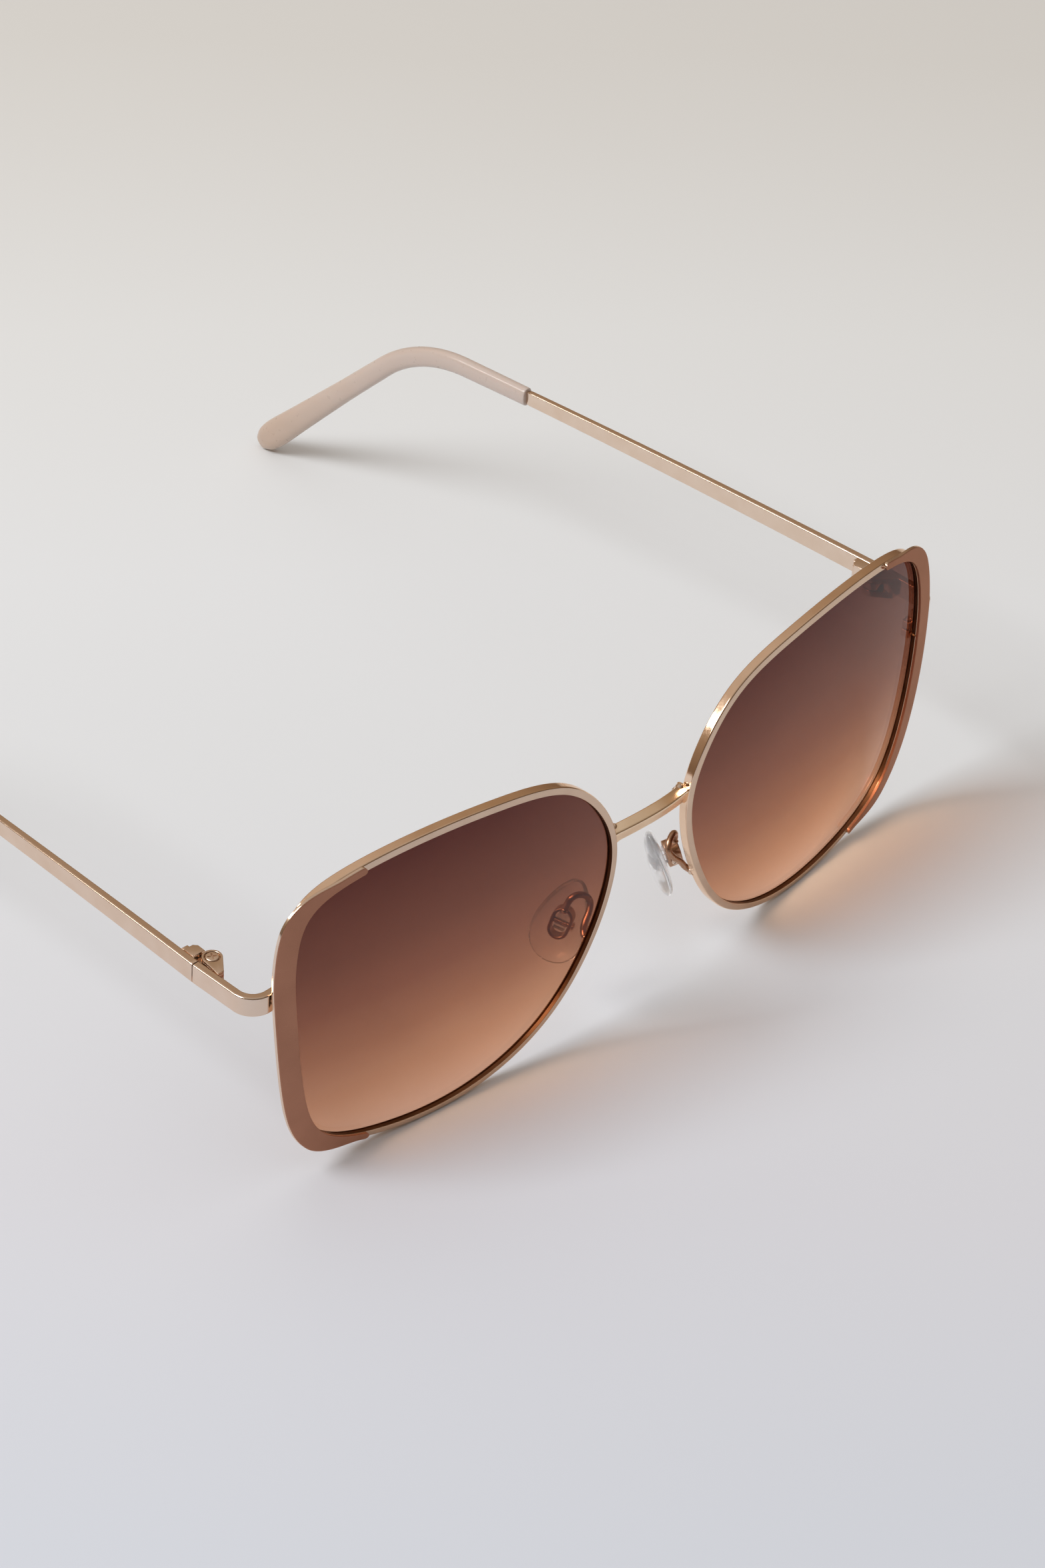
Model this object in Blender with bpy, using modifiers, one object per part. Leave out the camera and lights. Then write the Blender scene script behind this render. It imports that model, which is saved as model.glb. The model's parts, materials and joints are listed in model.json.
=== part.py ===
"""Oversized metal-framed sunglasses with butterfly lenses and folding temples.

Frame: +X across the face, +Y back along the temples, +Z up. The origin is the centre of
the bounding box's base, so the glasses stand open on the plane z = 0.
The wearer's left side (+X) is modelled, and its mirror image is the wearer's right side.
"""
import math

import bmesh
import bpy
import numpy as np
from mathutils import Matrix, Vector

MM = 0.001

# Front: the lens opening, seen from the front about the lens centre, x towards the temple.
LENS_CENTRE = 37.5 * MM
LENS_OUTLINE = [
    (28.9, 8.0), (28.7, 13.6), (26.7, 20.1), (20.3, 23.8), (7.0, 25.4), (-6.6, 24.7),
    (-18.7, 21.6), (-25.8, 14.9), (-28.9, 5.6), (-24.8, -8.8), (-16.0, -19.8),
    (-2.6, -24.9), (12.0, -24.4), (22.5, -20.3), (27.2, -9.3),
]
WRAP = math.radians(5.9)
BASE_RADIUS = 176 * MM
REST_TILT = math.radians(2.12)

# Eyewire: a grooved band that is split at the temple side and closed by a screw.
WIRE_WIDTH = 1.2 * MM
WIRE_DEPTH = 1.55 * MM
WIRE_FRONT = 0.15 * MM
WIRE_CHAMFER = 0.15 * MM
WIRE_SPLIT = 0.3 * MM
WIRE_SPLIT_AT = -2.0 * MM
GROOVE_FRONT = 0.7 * MM
GROOVE_BACK = 1.35 * MM
GROOVE_DEPTH = 0.5 * MM
GROOVE_FLOOR = 0.4 * MM
RIM_STATIONS = 72

# Lens: a curved disc with a thin tongue round its edge, held in the groove.
LENS_FRONT = 0.75 * MM
LENS_THICKNESS = 0.9 * MM
LENS_CLEARANCE = 0.15 * MM
TONGUE_REACH = 0.2 * MM
TONGUE_THICKNESS = 0.3 * MM

# Wing plate: a thin C-shaped plate in front of the eyewire, round the temple side.
PLATE_WIDTH = 3.3 * MM
PLATE_THICKNESS = 0.5 * MM
PLATE_GAP = 0.1 * MM
PLATE_TOP_END = 23.4 * MM
PLATE_TOP_FULL = (20.0 * MM, 10.0 * MM)
PLATE_BOTTOM_END = -38.0 * MM
PLATE_BOTTOM_FULL = (-37.0 * MM, -29.0 * MM)
PLATE_STATIONS = 44

# Bridge: a square bar, arched up and forward between the two eyewires.
BRIDGE_END = (7.1 * MM, 1.0 * MM, 8.3 * MM)
BRIDGE_RISE = 1.2 * MM
BRIDGE_REACH = 1.6 * MM
BRIDGE_HEIGHT = 2.1 * MM
BRIDGE_DEPTH = 1.9 * MM

# Hinge: the screw axis, in the front's frame, and parts about it (x out, y back).
HINGE_AXIS = (70.13 * MM, 18.2 * MM, 7.9 * MM)
SPLAY = math.radians(2.5)
KNUCKLE_RADIUS = 1.5 * MM
KNUCKLE_HEIGHT = 1.1 * MM
KNUCKLE_GAP = 0.15 * MM
TONGUE_HEIGHT = 1.2 * MM
HINGE_HOLE_RADIUS = 0.7 * MM
LEAF_INNER = 0.75 * MM
LEAF_OUTER = 1.55 * MM
LEAF_LENGTH = 3.4 * MM
TEMPLE_LEAF_START = 1.8 * MM
TEMPLE_LEAF_LENGTH = 4.4 * MM
LEAF_BLOCK = (1.9 * MM, 3.9 * MM)
LEAF_BLOCK_REACH = -0.3 * MM

# Bar of the end pieces and temples, in the hinge's frame.
BAR_HEIGHT = 3.3 * MM
BAR_THICKNESS = 1.3 * MM
BAR_CHAMFER = 0.3 * MM
BAR_OFFSET = 2.5 * MM
SEAM = 0.6 * MM
SEAM_GAP = 0.15 * MM
END_PIECE_BEND = (72.6 * MM, 7.6 * MM)
END_PIECE_ROOT = 67.95 * MM
END_PIECE_RADIUS = 3.0 * MM

# Temple: tapering bar, then a core wire that bends down inside the sleeve.
BAR_TAPER = 0.76
TEMPLE_DROP = 2.6 * MM
SLEEVE_START = 73.6 * MM
BEND_CORNER = 98.6 * MM
BEND_RADIUS = 26 * MM
BEND_ANGLE = math.radians(43.5)
TIP_LENGTH = 50 * MM
CORE_SCALE = 0.46
CORE_END_INSET = 9 * MM
SLEEVE_GAP = 0.3 * MM
SLEEVE_SECTIONS = [
    (0.0, 1.1, 1.6), (0.4, 1.2, 1.75), (0.62, 1.3, 1.9), (0.82, 1.45, 2.3),
    (0.93, 1.5, 2.6), (0.97, 1.35, 2.3), (0.99, 0.95, 1.6), (1.0, 0.3, 0.7),
]

# Closing blocks and screw behind each wing plate, in the front's frame.
BLOCK_CENTRE = (67.05 * MM, 8.35 * MM, 6.0 * MM)
BLOCK_SIZE = (1.5 * MM, 1.5 * MM, 1.3 * MM)
CLOSING_HOLE_RADIUS = 0.42 * MM

# Nose pads: arm, oval box, screw and a clear drop-shaped pad, about the pad screw.
PAD_PIVOT = (12.2 * MM, 5.7 * MM, -8.0 * MM)
PAD_TURN = (math.radians(14), math.radians(-18), math.radians(-30))
ARM_RADIUS = 0.48 * MM
ARM_ROUTE = [
    (11.3, 2.35, -8.2), (10.6, 2.6, -7.2), (9.4, 3.0, -6.0), (8.7, 3.5, -4.8),
    (9.2, 4.0, -3.7), (10.4, 4.5, -3.2), (11.4, 4.9, -3.6), (11.75, 5.05, -4.7),
]
BOX_SIZE = (2.2 * MM, 3.2 * MM, 5.0 * MM)
BOX_WALL = 0.45 * MM
STEM_WIDTH = 1.7 * MM
STEM_HEIGHT = 2.6 * MM
PAD_OFFSET = -2.7 * MM
PAD_LENGTH = 14 * MM
PAD_WIDTH = 8.2 * MM
PAD_THICKNESS = 2.4 * MM
PAD_HOLE_RADIUS = 0.5 * MM

SCREW_CLEARANCE = 0.1 * MM


# Outline of the lens opening -------------------------------------------------------------

def closed_spline(points, steps_per_span=40):
    """Points of the smooth closed cubic curve through the given points."""
    knots = np.array(points, float)
    following = np.roll(knots, -1, axis=0)
    spans = np.sqrt(np.linalg.norm(following - knots, axis=1))
    slopes = (following - knots) / spans[:, None]
    count = len(knots)
    system = np.zeros((count, count))
    for i in range(count):
        system[i, i - 1] = spans[i - 1]
        system[i, i] = 2 * (spans[i - 1] + spans[i])
        system[i, (i + 1) % count] = spans[i]
    bend = np.linalg.solve(system, 6 * (slopes - np.roll(slopes, 1, axis=0)))
    curve = []
    for i in range(count):
        j = (i + 1) % count
        for t in np.linspace(0, 1, steps_per_span, endpoint=False):
            start, end = 1 - t, t
            curved = (start**3 - start) * bend[i] + (end**3 - end) * bend[j]
            curve.append(start * knots[i] + end * knots[j] + curved * spans[i]**2 / 6)
    return np.array(curve)


OUTLINE = closed_spline(LENS_OUTLINE) * MM
STEPS = np.linalg.norm(np.roll(OUTLINE, -1, axis=0) - OUTLINE, axis=1)
ARC = np.concatenate([[0], np.cumsum(STEPS)[:-1]])
PERIMETER = STEPS.sum()
TANGENTS = np.roll(OUTLINE, -1, axis=0) - np.roll(OUTLINE, 1, axis=0)
TANGENTS /= np.linalg.norm(TANGENTS, axis=1)[:, None]


def front_depth(x, z):
    """Depth of the front's curved face at a point about the lens centre."""
    return x * math.tan(WRAP) + (x * x + z * z) / (2 * BASE_RADIUS)


def rim_point(arc, outward, back):
    """Point beside the lens opening; arc runs from the end piece, upwards and over the brow."""
    x, z, tx, tz = (
        np.interp(arc, ARC, values, period=PERIMETER)
        for values in (OUTLINE[:, 0], OUTLINE[:, 1], TANGENTS[:, 0], TANGENTS[:, 1])
    )
    x += outward * tz
    z -= outward * tx
    return Vector((LENS_CENTRE + x, front_depth(x, z) + back, z))


# Modelling helpers -------------------------------------------------------------------------

def clear_scene():
    """Remove every object, mesh and material that is open."""
    for obj in list(bpy.data.objects):
        bpy.data.objects.remove(obj, do_unlink=True)
    for blocks in (bpy.data.meshes, bpy.data.curves, bpy.data.materials):
        for block in list(blocks):
            blocks.remove(block)


def new_collection(name):
    """A new collection in the scene."""
    collection = bpy.data.collections.new(name)
    bpy.context.scene.collection.children.link(collection)
    return collection


def new_material(name, colour, metallic, roughness, alpha=1.0):
    """A Principled material."""
    material = bpy.data.materials.new(name)
    material.use_nodes = True
    shader = material.node_tree.nodes["Principled BSDF"]
    shader.inputs["Base Color"].default_value = (*colour, 1.0)
    shader.inputs["Metallic"].default_value = metallic
    shader.inputs["Roughness"].default_value = roughness
    shader.inputs["Alpha"].default_value = alpha
    return material


def new_empty(name, parent, location=(0, 0, 0), rotation=(0, 0, 0)):
    """An empty that carries parts."""
    empty = bpy.data.objects.new(name, None)
    empty.location = location
    empty.rotation_euler = rotation
    empty.parent = parent
    PARTS.objects.link(empty)
    return empty


def new_part(name, mesh, parent, material, collection=None):
    """An object for a mesh, under its carrying empty."""
    obj = bpy.data.objects.new(name, mesh)
    obj.parent = parent
    (collection or PARTS).objects.link(obj)
    if material:
        mesh.materials.clear()
        mesh.materials.append(material)
    return obj


def finish_mesh(name, shape, smooth_angle=40):
    """A mesh from a bmesh, faces out and shaded smooth up to an angle."""
    bmesh.ops.recalc_face_normals(shape, faces=shape.faces)
    mesh = bpy.data.meshes.new(name)
    shape.to_mesh(mesh)
    shape.free()
    mesh.shade_smooth()
    mesh.set_sharp_from_angle(angle=math.radians(smooth_angle))
    return mesh


def loft(name, rings):
    """A closed solid through rings of equal count, capped at both ends."""
    shape = bmesh.new()
    loops = [[shape.verts.new(point) for point in ring] for ring in rings]
    for loop, following in zip(loops, loops[1:]):
        for i in range(len(loop)):
            j = (i + 1) % len(loop)
            shape.faces.new((loop[i], loop[j], following[j], following[i]))
    shape.faces.new(loops[0])
    shape.faces.new(loops[-1])
    return finish_mesh(name, shape)


def block(name, low, high, bevel=0.0):
    """A box between two corners, with its edges rounded."""
    shape = bmesh.new()
    bmesh.ops.create_cube(shape, size=1)
    low, high = Vector(low), Vector(high)
    size = high - low
    for vertex in shape.verts:
        vertex.co = [low[i] + (vertex.co[i] + 0.5) * size[i] for i in range(3)]
    if bevel:
        bmesh.ops.bevel(shape, geom=shape.edges[:], offset=bevel, segments=1,
                        affect="EDGES", clamp_overlap=True)
    return finish_mesh(name, shape, 20)


def cylinder(name, radius, low, high, sides=24):
    """An upright cylinder on the Z axis between two heights."""
    shape = bmesh.new()
    bmesh.ops.create_cone(shape, cap_ends=True, segments=sides, radius1=radius,
                          radius2=radius, depth=high - low)
    bmesh.ops.translate(shape, verts=shape.verts, vec=(0, 0, (low + high) / 2))
    return finish_mesh(name, shape)


def mesh_of(obj, name):
    """The evaluated mesh of an object, with loose caps welded."""
    bpy.context.view_layer.update()
    evaluated = obj.evaluated_get(bpy.context.evaluated_depsgraph_get())
    mesh = bpy.data.meshes.new_from_object(evaluated)
    shape = bmesh.new()
    shape.from_mesh(mesh)
    bpy.data.meshes.remove(mesh)
    bmesh.ops.remove_doubles(shape, verts=shape.verts, dist=0.002 * MM)
    return finish_mesh(name, shape)


def new_curve(name, points, closed=False, radii=None, flat=False):
    """A poly curve object through the points."""
    curve = bpy.data.curves.new(name, "CURVE")
    curve.dimensions = "2D" if flat else "3D"
    spline = curve.splines.new("POLY")
    spline.points.add(len(points) - 1)
    for i, point in enumerate(points):
        spline.points[i].co = (*Vector(point).to_3d(), 1)
        spline.points[i].radius = radii[i] if radii else 1.0
    spline.use_cyclic_u = closed
    obj = bpy.data.objects.new(name, curve)
    CUTTERS.objects.link(obj)
    return obj


def remove_curve(obj):
    """Remove a curve object and its data."""
    curve = obj.data
    bpy.data.objects.remove(obj)
    bpy.data.curves.remove(curve)


def prism(name, outline, thickness, height=0.0):
    """A flat outline given a thickness, centred at a height."""
    obj = new_curve(name, outline, closed=True, flat=True)
    obj.data.fill_mode = "BOTH"
    obj.data.extrude = thickness / 2
    mesh = mesh_of(obj, name)
    mesh.transform(Matrix.Translation((0, 0, height)))
    remove_curve(obj)
    return mesh


def bar(name, points, section, radii=None):
    """A bar of a given upright section swept along a path."""
    profile = new_curve(name + "_section", section, closed=True, flat=True)
    path = new_curve(name, points, radii=radii)
    path.data.twist_mode = "Z_UP"
    path.data.bevel_mode = "OBJECT"
    path.data.bevel_object = profile
    path.data.use_fill_caps = True
    mesh = mesh_of(path, name)
    remove_curve(path)
    remove_curve(profile)
    return mesh


def wire(name, points, radius):
    """A round wire along a path."""
    path = new_curve(name, points)
    path.data.bevel_depth = radius
    path.data.bevel_resolution = 2
    path.data.use_fill_caps = True
    mesh = mesh_of(path, name)
    remove_curve(path)
    return mesh


def chamfered_section(width, height, chamfer):
    """The outline of a rectangle with its corners cut."""
    x, y = width / 2, height / 2
    quarter = [(x, y - chamfer), (x - chamfer, y)]
    return (
        quarter + [(-px, py) for px, py in reversed(quarter)]
        + [(-px, -py) for px, py in quarter] + [(px, -py) for px, py in reversed(quarter)]
    )


def rounded_path(start, corner, end, radius, steps=8):
    """A path with its one corner replaced by an arc."""
    start, corner, end = Vector(start), Vector(corner), Vector(end)
    back, ahead = (start - corner).normalized(), (end - corner).normalized()
    half = back.angle(ahead) / 2
    centre = corner + (back + ahead).normalized() * (radius / math.sin(half))
    first = corner + back * (radius / math.tan(half)) - centre
    last = corner + ahead * (radius / math.tan(half)) - centre
    arc = [centre + first.slerp(last, i / steps).normalized() * radius for i in range(steps + 1)]
    return [start] + arc + [end]


def add_boolean(obj, mesh, operation="DIFFERENCE", matrix=None):
    """Cut a shape from a part, or join it on, in the part's own frame."""
    cutter = new_part(mesh.name + "_cutter", mesh, obj.parent, None, CUTTERS)
    if matrix:
        cutter.matrix_local = matrix
    cutter.hide_render = True
    cutter.display_type = "WIRE"
    modifier = obj.modifiers.new(mesh.name, "BOOLEAN")
    modifier.operation = operation
    modifier.object = cutter


def screw(name, parent, head_radius, head_height, shank_radius, top, bottom, recess, slots,
          matrix=None):
    """A screw turned about Z, with one slot or a cross of two in its head."""
    profile = [
        (0, top), (head_radius - 0.1 * MM, top), (head_radius, top - 0.1 * MM),
        (head_radius, top - head_height), (shank_radius, top - head_height),
        (shank_radius, bottom + 0.15 * MM), (shank_radius - 0.15 * MM, bottom), (0, bottom),
    ]
    shape = bmesh.new()
    verts = [shape.verts.new((x, 0, z)) for x, z in profile]
    for first, second in zip(verts, verts[1:]):
        shape.edges.new((first, second))
    mesh = bpy.data.meshes.new(name)
    shape.to_mesh(mesh)
    shape.free()
    obj = new_part(name, mesh, parent, SCREW)
    turn = obj.modifiers.new("turn", "SCREW")
    turn.steps = turn.render_steps = 16
    turn.use_merge_vertices = True
    turn.merge_threshold = 0.002 * MM
    length, width = head_radius * 1.3, head_radius * 0.3
    for x, y in ((length / 2, width / 2), (width / 2, length / 2))[:slots]:
        add_boolean(obj, block(name + "_slot", (-x, -y, top - recess), (x, y, top + recess)))
    if matrix:
        for piece in [obj] + [m.object for m in obj.modifiers if m.type == "BOOLEAN"]:
            piece.matrix_local = matrix
    return obj


# The front ---------------------------------------------------------------------------------

def make_eyewire():
    """The grooved band round the lens, open at its split."""
    front, back = WIRE_FRONT, WIRE_FRONT + WIRE_DEPTH
    middle = (GROOVE_FRONT + GROOVE_BACK) / 2
    section = [
        (0, front), (WIRE_WIDTH - WIRE_CHAMFER, front), (WIRE_WIDTH, front + WIRE_CHAMFER),
        (WIRE_WIDTH, back - WIRE_CHAMFER), (WIRE_WIDTH - WIRE_CHAMFER, back), (0, back),
        (0, front + GROOVE_BACK), (GROOVE_DEPTH, front + middle + GROOVE_FLOOR / 2),
        (GROOVE_DEPTH, front + middle - GROOVE_FLOOR / 2), (0, front + GROOVE_FRONT),
    ]
    stations = np.linspace(WIRE_SPLIT / 2, PERIMETER - WIRE_SPLIT / 2, RIM_STATIONS) + WIRE_SPLIT_AT
    rings = [[rim_point(arc, *point) for point in section] for arc in stations]
    return new_part("eyewire_left", loft("eyewire_left", rings), FRONT, GOLD)


def make_lens():
    """The curved lens with its tongue in the eyewire's groove."""
    stations = np.linspace(0, PERIMETER, RIM_STATIONS, endpoint=False)
    edge = [rim_point(arc, -LENS_CLEARANCE, 0) for arc in stations]
    tongue = [rim_point(arc, TONGUE_REACH, 0) for arc in stations]
    centre = Vector((LENS_CENTRE, 0, 0))
    back = LENS_FRONT + LENS_THICKNESS
    middle = LENS_FRONT + LENS_THICKNESS / 2

    def ring(outline, scale, depth):
        points = []
        for point in outline:
            x, z = (point.x - centre.x) * scale, point.z * scale
            points.append((centre.x + x, front_depth(x, z) + depth, z))
        return points

    scales = (0.25, 0.55, 0.8, 1.0)
    rings = [ring(edge, scale, LENS_FRONT) for scale in scales]
    rings.append(ring(edge, 1.0, middle - TONGUE_THICKNESS / 2))
    rings.append(ring(tongue, 1.0, middle - TONGUE_THICKNESS / 2))
    rings.append(ring(tongue, 1.0, middle + TONGUE_THICKNESS / 2))
    rings.append(ring(edge, 1.0, middle + TONGUE_THICKNESS / 2))
    rings += [ring(edge, scale, back) for scale in reversed(scales)]
    return new_part("lens_left", loft("lens_left", rings), FRONT, LENS)


def plate_width(arc):
    """Width of the wing plate at a place along the rim."""
    def blend(start, full):
        t = min(max((arc - start) / (full - start), 0), 1)
        return t * t * (3 - 2 * t)
    growth = min(blend(*PLATE_TOP_FULL), blend(*PLATE_BOTTOM_FULL))
    return WIRE_WIDTH + (PLATE_WIDTH - WIRE_WIDTH) * growth


def make_wing_plate():
    """The thin plate in front of the eyewire, a bent strip with rounded ends."""
    columns = 2
    shape = bmesh.new()
    bmesh.ops.create_grid(shape, x_segments=PLATE_STATIONS, y_segments=columns, size=1)
    for vertex in shape.verts:
        along = (vertex.co.x + 1) / 2
        across = (vertex.co.y + 1) / 2
        eased = 0.5 - 0.5 * math.cos(math.pi * along)
        along += 0.35 * (eased - along)
        arc = PLATE_BOTTOM_END + (PLATE_TOP_END - PLATE_BOTTOM_END) * along
        width = plate_width(arc)
        end = min(arc - PLATE_BOTTOM_END, PLATE_TOP_END - arc)
        radius = WIRE_WIDTH / 2
        squeeze = math.sqrt(max(1 - max(1 - end / radius, 0)**2, 0.09))
        outward = width / 2 + (across - 0.5) * width * squeeze
        vertex.co = rim_point(arc, outward, WIRE_FRONT - PLATE_GAP)
    mesh = finish_mesh("wing_plate_left", shape)
    mesh_normal = sum((polygon.normal for polygon in mesh.polygons), Vector())
    obj = new_part("wing_plate_left", mesh, FRONT, TAUPE)
    solidify = obj.modifiers.new("thickness", "SOLIDIFY")
    solidify.thickness = PLATE_THICKNESS
    solidify.offset = 1 if mesh_normal.y < 0 else -1
    solidify.use_even_offset = True
    return obj


def make_bridge():
    """The bar between the eyewires, arched up and forward."""
    x, y, z = BRIDGE_END
    points = []
    for t in np.linspace(-1, 1, 21):
        arch = 1 - t * t
        points.append((x * t, y - BRIDGE_REACH * arch, z + BRIDGE_RISE * arch))
    section = chamfered_section(BRIDGE_DEPTH, BRIDGE_HEIGHT, 0.4 * MM)
    return new_part("bridge", bar("bridge", points, section), FRONT, GOLD)


def make_closing_blocks():
    """The two drilled blocks on the ends of the split eyewire, and their screw."""
    x, y, z = BLOCK_CENTRE
    width, depth, height = BLOCK_SIZE
    made = []
    for name, sign in (("upper", 1), ("lower", -1)):
        near = z + sign * WIRE_SPLIT / 2
        far = near + sign * height
        part_name = "closing_block_" + name + "_left"
        mesh = block(part_name, (x - width / 2, y - depth / 2, min(near, far)),
                     (x + width / 2, y + depth / 2, max(near, far)), 0.15 * MM)
        obj = new_part(part_name, mesh, FRONT, GOLD)
        hole = cylinder(part_name + "_hole", CLOSING_HOLE_RADIUS, -height * 2, height * 2)
        add_boolean(obj, hole, matrix=Matrix.Translation((x, y, z)))
        made.append(obj)
    reach = height + WIRE_SPLIT / 2
    made.append(screw(
        "closing_screw_left", FRONT, 0.62 * MM, 0.35 * MM, CLOSING_HOLE_RADIUS - SCREW_CLEARANCE,
        reach + 0.45 * MM, -reach, 0.2 * MM, 1, Matrix.Translation((x, y, z))))
    return made


# Hinge and end piece -----------------------------------------------------------------------

def make_end_piece():
    """The bar that leaves the eyewire and bends back to the hinge seam."""
    seam = Vector((BAR_OFFSET, SEAM - SEAM_GAP / 2, 0))
    to_hinge = (Matrix.Translation(HINGE_AXIS) @ Matrix.Rotation(SPLAY, 4, "Z"))
    seam = to_hinge @ seam
    corner = (*END_PIECE_BEND, HINGE_AXIS[2])
    root = (END_PIECE_ROOT, END_PIECE_BEND[1], HINGE_AXIS[2])
    path = rounded_path(root, corner, seam, END_PIECE_RADIUS)
    section = chamfered_section(BAR_THICKNESS, BAR_HEIGHT, BAR_CHAMFER)
    return new_part("end_piece_left", bar("end_piece_left", path, section), FRONT, GOLD)


def leaf_outline(length, direction):
    """Plan of a hinge leaf: the knuckle's circle drawn out to a flat foot."""
    foot = math.hypot(LEAF_INNER, length)
    last = math.radians(360) - math.atan2(length, LEAF_INNER) - math.acos(KNUCKLE_RADIUS / foot)
    points = [
        (KNUCKLE_RADIUS * math.cos(angle), KNUCKLE_RADIUS * math.sin(angle))
        for angle in np.linspace(0, last, 22)
    ]
    points += [(LEAF_INNER, -length), (LEAF_OUTER, -length)]
    return [(x, -direction * y) for x, y in points]


def make_hinge(pivot, front_pivot):
    """Both hinge leaves and the hinge screw."""
    reach = TONGUE_HEIGHT / 2 + KNUCKLE_GAP + KNUCKLE_HEIGHT
    front_leaf = new_part(
        "hinge_front_leaf_left",
        prism("hinge_front_leaf_left", leaf_outline(LEAF_LENGTH, -1), 2 * reach),
        front_pivot, GOLD)
    slot = TONGUE_HEIGHT / 2 + KNUCKLE_GAP
    add_boolean(front_leaf, cylinder("hinge_slot", KNUCKLE_RADIUS + 0.25 * MM, -slot, slot, 32))
    add_boolean(front_leaf, cylinder("hinge_bore", HINGE_HOLE_RADIUS, -2 * reach, 2 * reach))
    sink = reach - 0.45 * MM
    add_boolean(front_leaf, cylinder("hinge_sink", 1.1 * MM, sink, 2 * reach))

    temple_leaf = new_part(
        "hinge_temple_leaf_left",
        prism("hinge_temple_leaf_left", leaf_outline(TEMPLE_LEAF_LENGTH, 1), TONGUE_HEIGHT),
        pivot, GOLD)
    height = BAR_HEIGHT / 2 - 0.15 * MM
    plate = block("temple_leaf_plate", (LEAF_INNER, TEMPLE_LEAF_START, -height),
                  (LEAF_OUTER, TEMPLE_LEAF_LENGTH + 0.05 * MM, height))
    add_boolean(temple_leaf, plate, "UNION")
    stop = block("temple_leaf_block", (LEAF_BLOCK_REACH, LEAF_BLOCK[0], -height - 0.1 * MM),
                 (LEAF_OUTER - 0.05 * MM, LEAF_BLOCK[1], height + 0.1 * MM), 0.25 * MM)
    add_boolean(temple_leaf, stop, "UNION")
    add_boolean(temple_leaf, cylinder("tongue_bore", HINGE_HOLE_RADIUS, -reach, reach))

    pin = screw("hinge_screw_left", front_pivot, 1.0 * MM, 0.4 * MM,
                HINGE_HOLE_RADIUS - SCREW_CLEARANCE, reach + 0.05 * MM, -reach, 0.3 * MM, 2)
    return [front_leaf, pin], [temple_leaf]


# Temple ------------------------------------------------------------------------------------

def temple_path():
    """Centre line of the temple from the hinge seam to the end of the tip."""
    start = Vector((BAR_OFFSET, SEAM + SEAM_GAP / 2, 0))
    corner = Vector((BAR_OFFSET, BEND_CORNER, 0))
    down = Vector((0, math.cos(BEND_ANGLE), -math.sin(BEND_ANGLE)))
    bent = rounded_path(start, corner, corner + down * TIP_LENGTH, BEND_RADIUS, 10)
    level = [start.lerp(bent[1], i / 8) for i in range(8)]
    path = level + bent[1:]
    return [point - Vector((0, 0, TEMPLE_DROP * (point.y / BEND_CORNER)**2)) for point in path]


def path_table(points):
    """Arc length at each point of a path."""
    lengths = [0.0]
    for first, second in zip(points, points[1:]):
        lengths.append(lengths[-1] + (second - first).length)
    return lengths


def along_path(points, distance):
    """Point and direction at a distance along a path."""
    lengths = path_table(points)
    for i in range(len(points) - 1):
        if distance <= lengths[i + 1] or i == len(points) - 2:
            span = lengths[i + 1] - lengths[i]
            direction = (points[i + 1] - points[i]).normalized()
            return points[i] + direction * min(distance - lengths[i], span), direction
    return points[-1], direction


def part_path(points, start, end):
    """The stretch of a path between two distances."""
    inner = [p for p, length in zip(points, path_table(points)) if start < length < end]
    return [along_path(points, start)[0]] + inner + [along_path(points, end)[0]]


def make_temple(pivot):
    """The temple bar with its core wire, and the sleeve over the core."""
    path = temple_path()
    total = path_table(path)[-1]
    core_end = total - CORE_END_INSET
    shoulder = SLEEVE_START - 1.2 * MM
    bar_points = part_path(path, 0, shoulder)
    core_points = part_path(path, SLEEVE_START - 0.4 * MM, core_end)
    radii = [1 + (BAR_TAPER - 1) * point.y / SLEEVE_START for point in bar_points]
    radii += [CORE_SCALE] * len(core_points)
    section = chamfered_section(BAR_THICKNESS, BAR_HEIGHT, BAR_CHAMFER)
    mesh = bar("temple_left", bar_points + core_points, section, radii)
    temple = new_part("temple_left", mesh, pivot, GOLD)

    rings = []
    stations = np.concatenate([np.linspace(0, 0.9, 19), np.array([0.94, 0.97, 0.99, 1.0])])
    fractions, thicknesses, heights = zip(*SLEEVE_SECTIONS)
    for fraction in stations:
        distance = SLEEVE_START + (total - SLEEVE_START) * fraction
        point, direction = along_path(path, distance)
        up = Vector((1, 0, 0)).cross(direction)
        half_thickness = np.interp(fraction, fractions, thicknesses) * MM
        half_height = np.interp(fraction, fractions, heights) * MM
        ring = []
        for angle in np.linspace(0, 2 * math.pi, 14, endpoint=False):
            x = half_thickness * math.copysign(abs(math.cos(angle))**0.8, math.cos(angle))
            z = half_height * math.copysign(abs(math.sin(angle))**0.8, math.sin(angle))
            ring.append(point + Vector((x, 0, 0)) + up * z)
        rings.append(ring)
    tip = new_part("temple_tip_left", loft("temple_tip_left", rings), pivot, ACETATE)
    bore_points = part_path(path, SLEEVE_START - 1 * MM, core_end + SLEEVE_GAP)
    bore_section = chamfered_section(BAR_THICKNESS * CORE_SCALE + 2 * SLEEVE_GAP,
                                     BAR_HEIGHT * CORE_SCALE + 2 * SLEEVE_GAP, BAR_CHAMFER)
    add_boolean(tip, bar("core_bore", bore_points, bore_section))
    return [temple, tip]


# Nose pads ---------------------------------------------------------------------------------

def make_pad_arm():
    """The wire that loops from the eyewire to the pad box."""
    points = [Vector(point) * MM for point in ARM_ROUTE]
    return new_part("pad_arm_left", wire("pad_arm_left", points, ARM_RADIUS), FRONT, GOLD)


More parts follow.
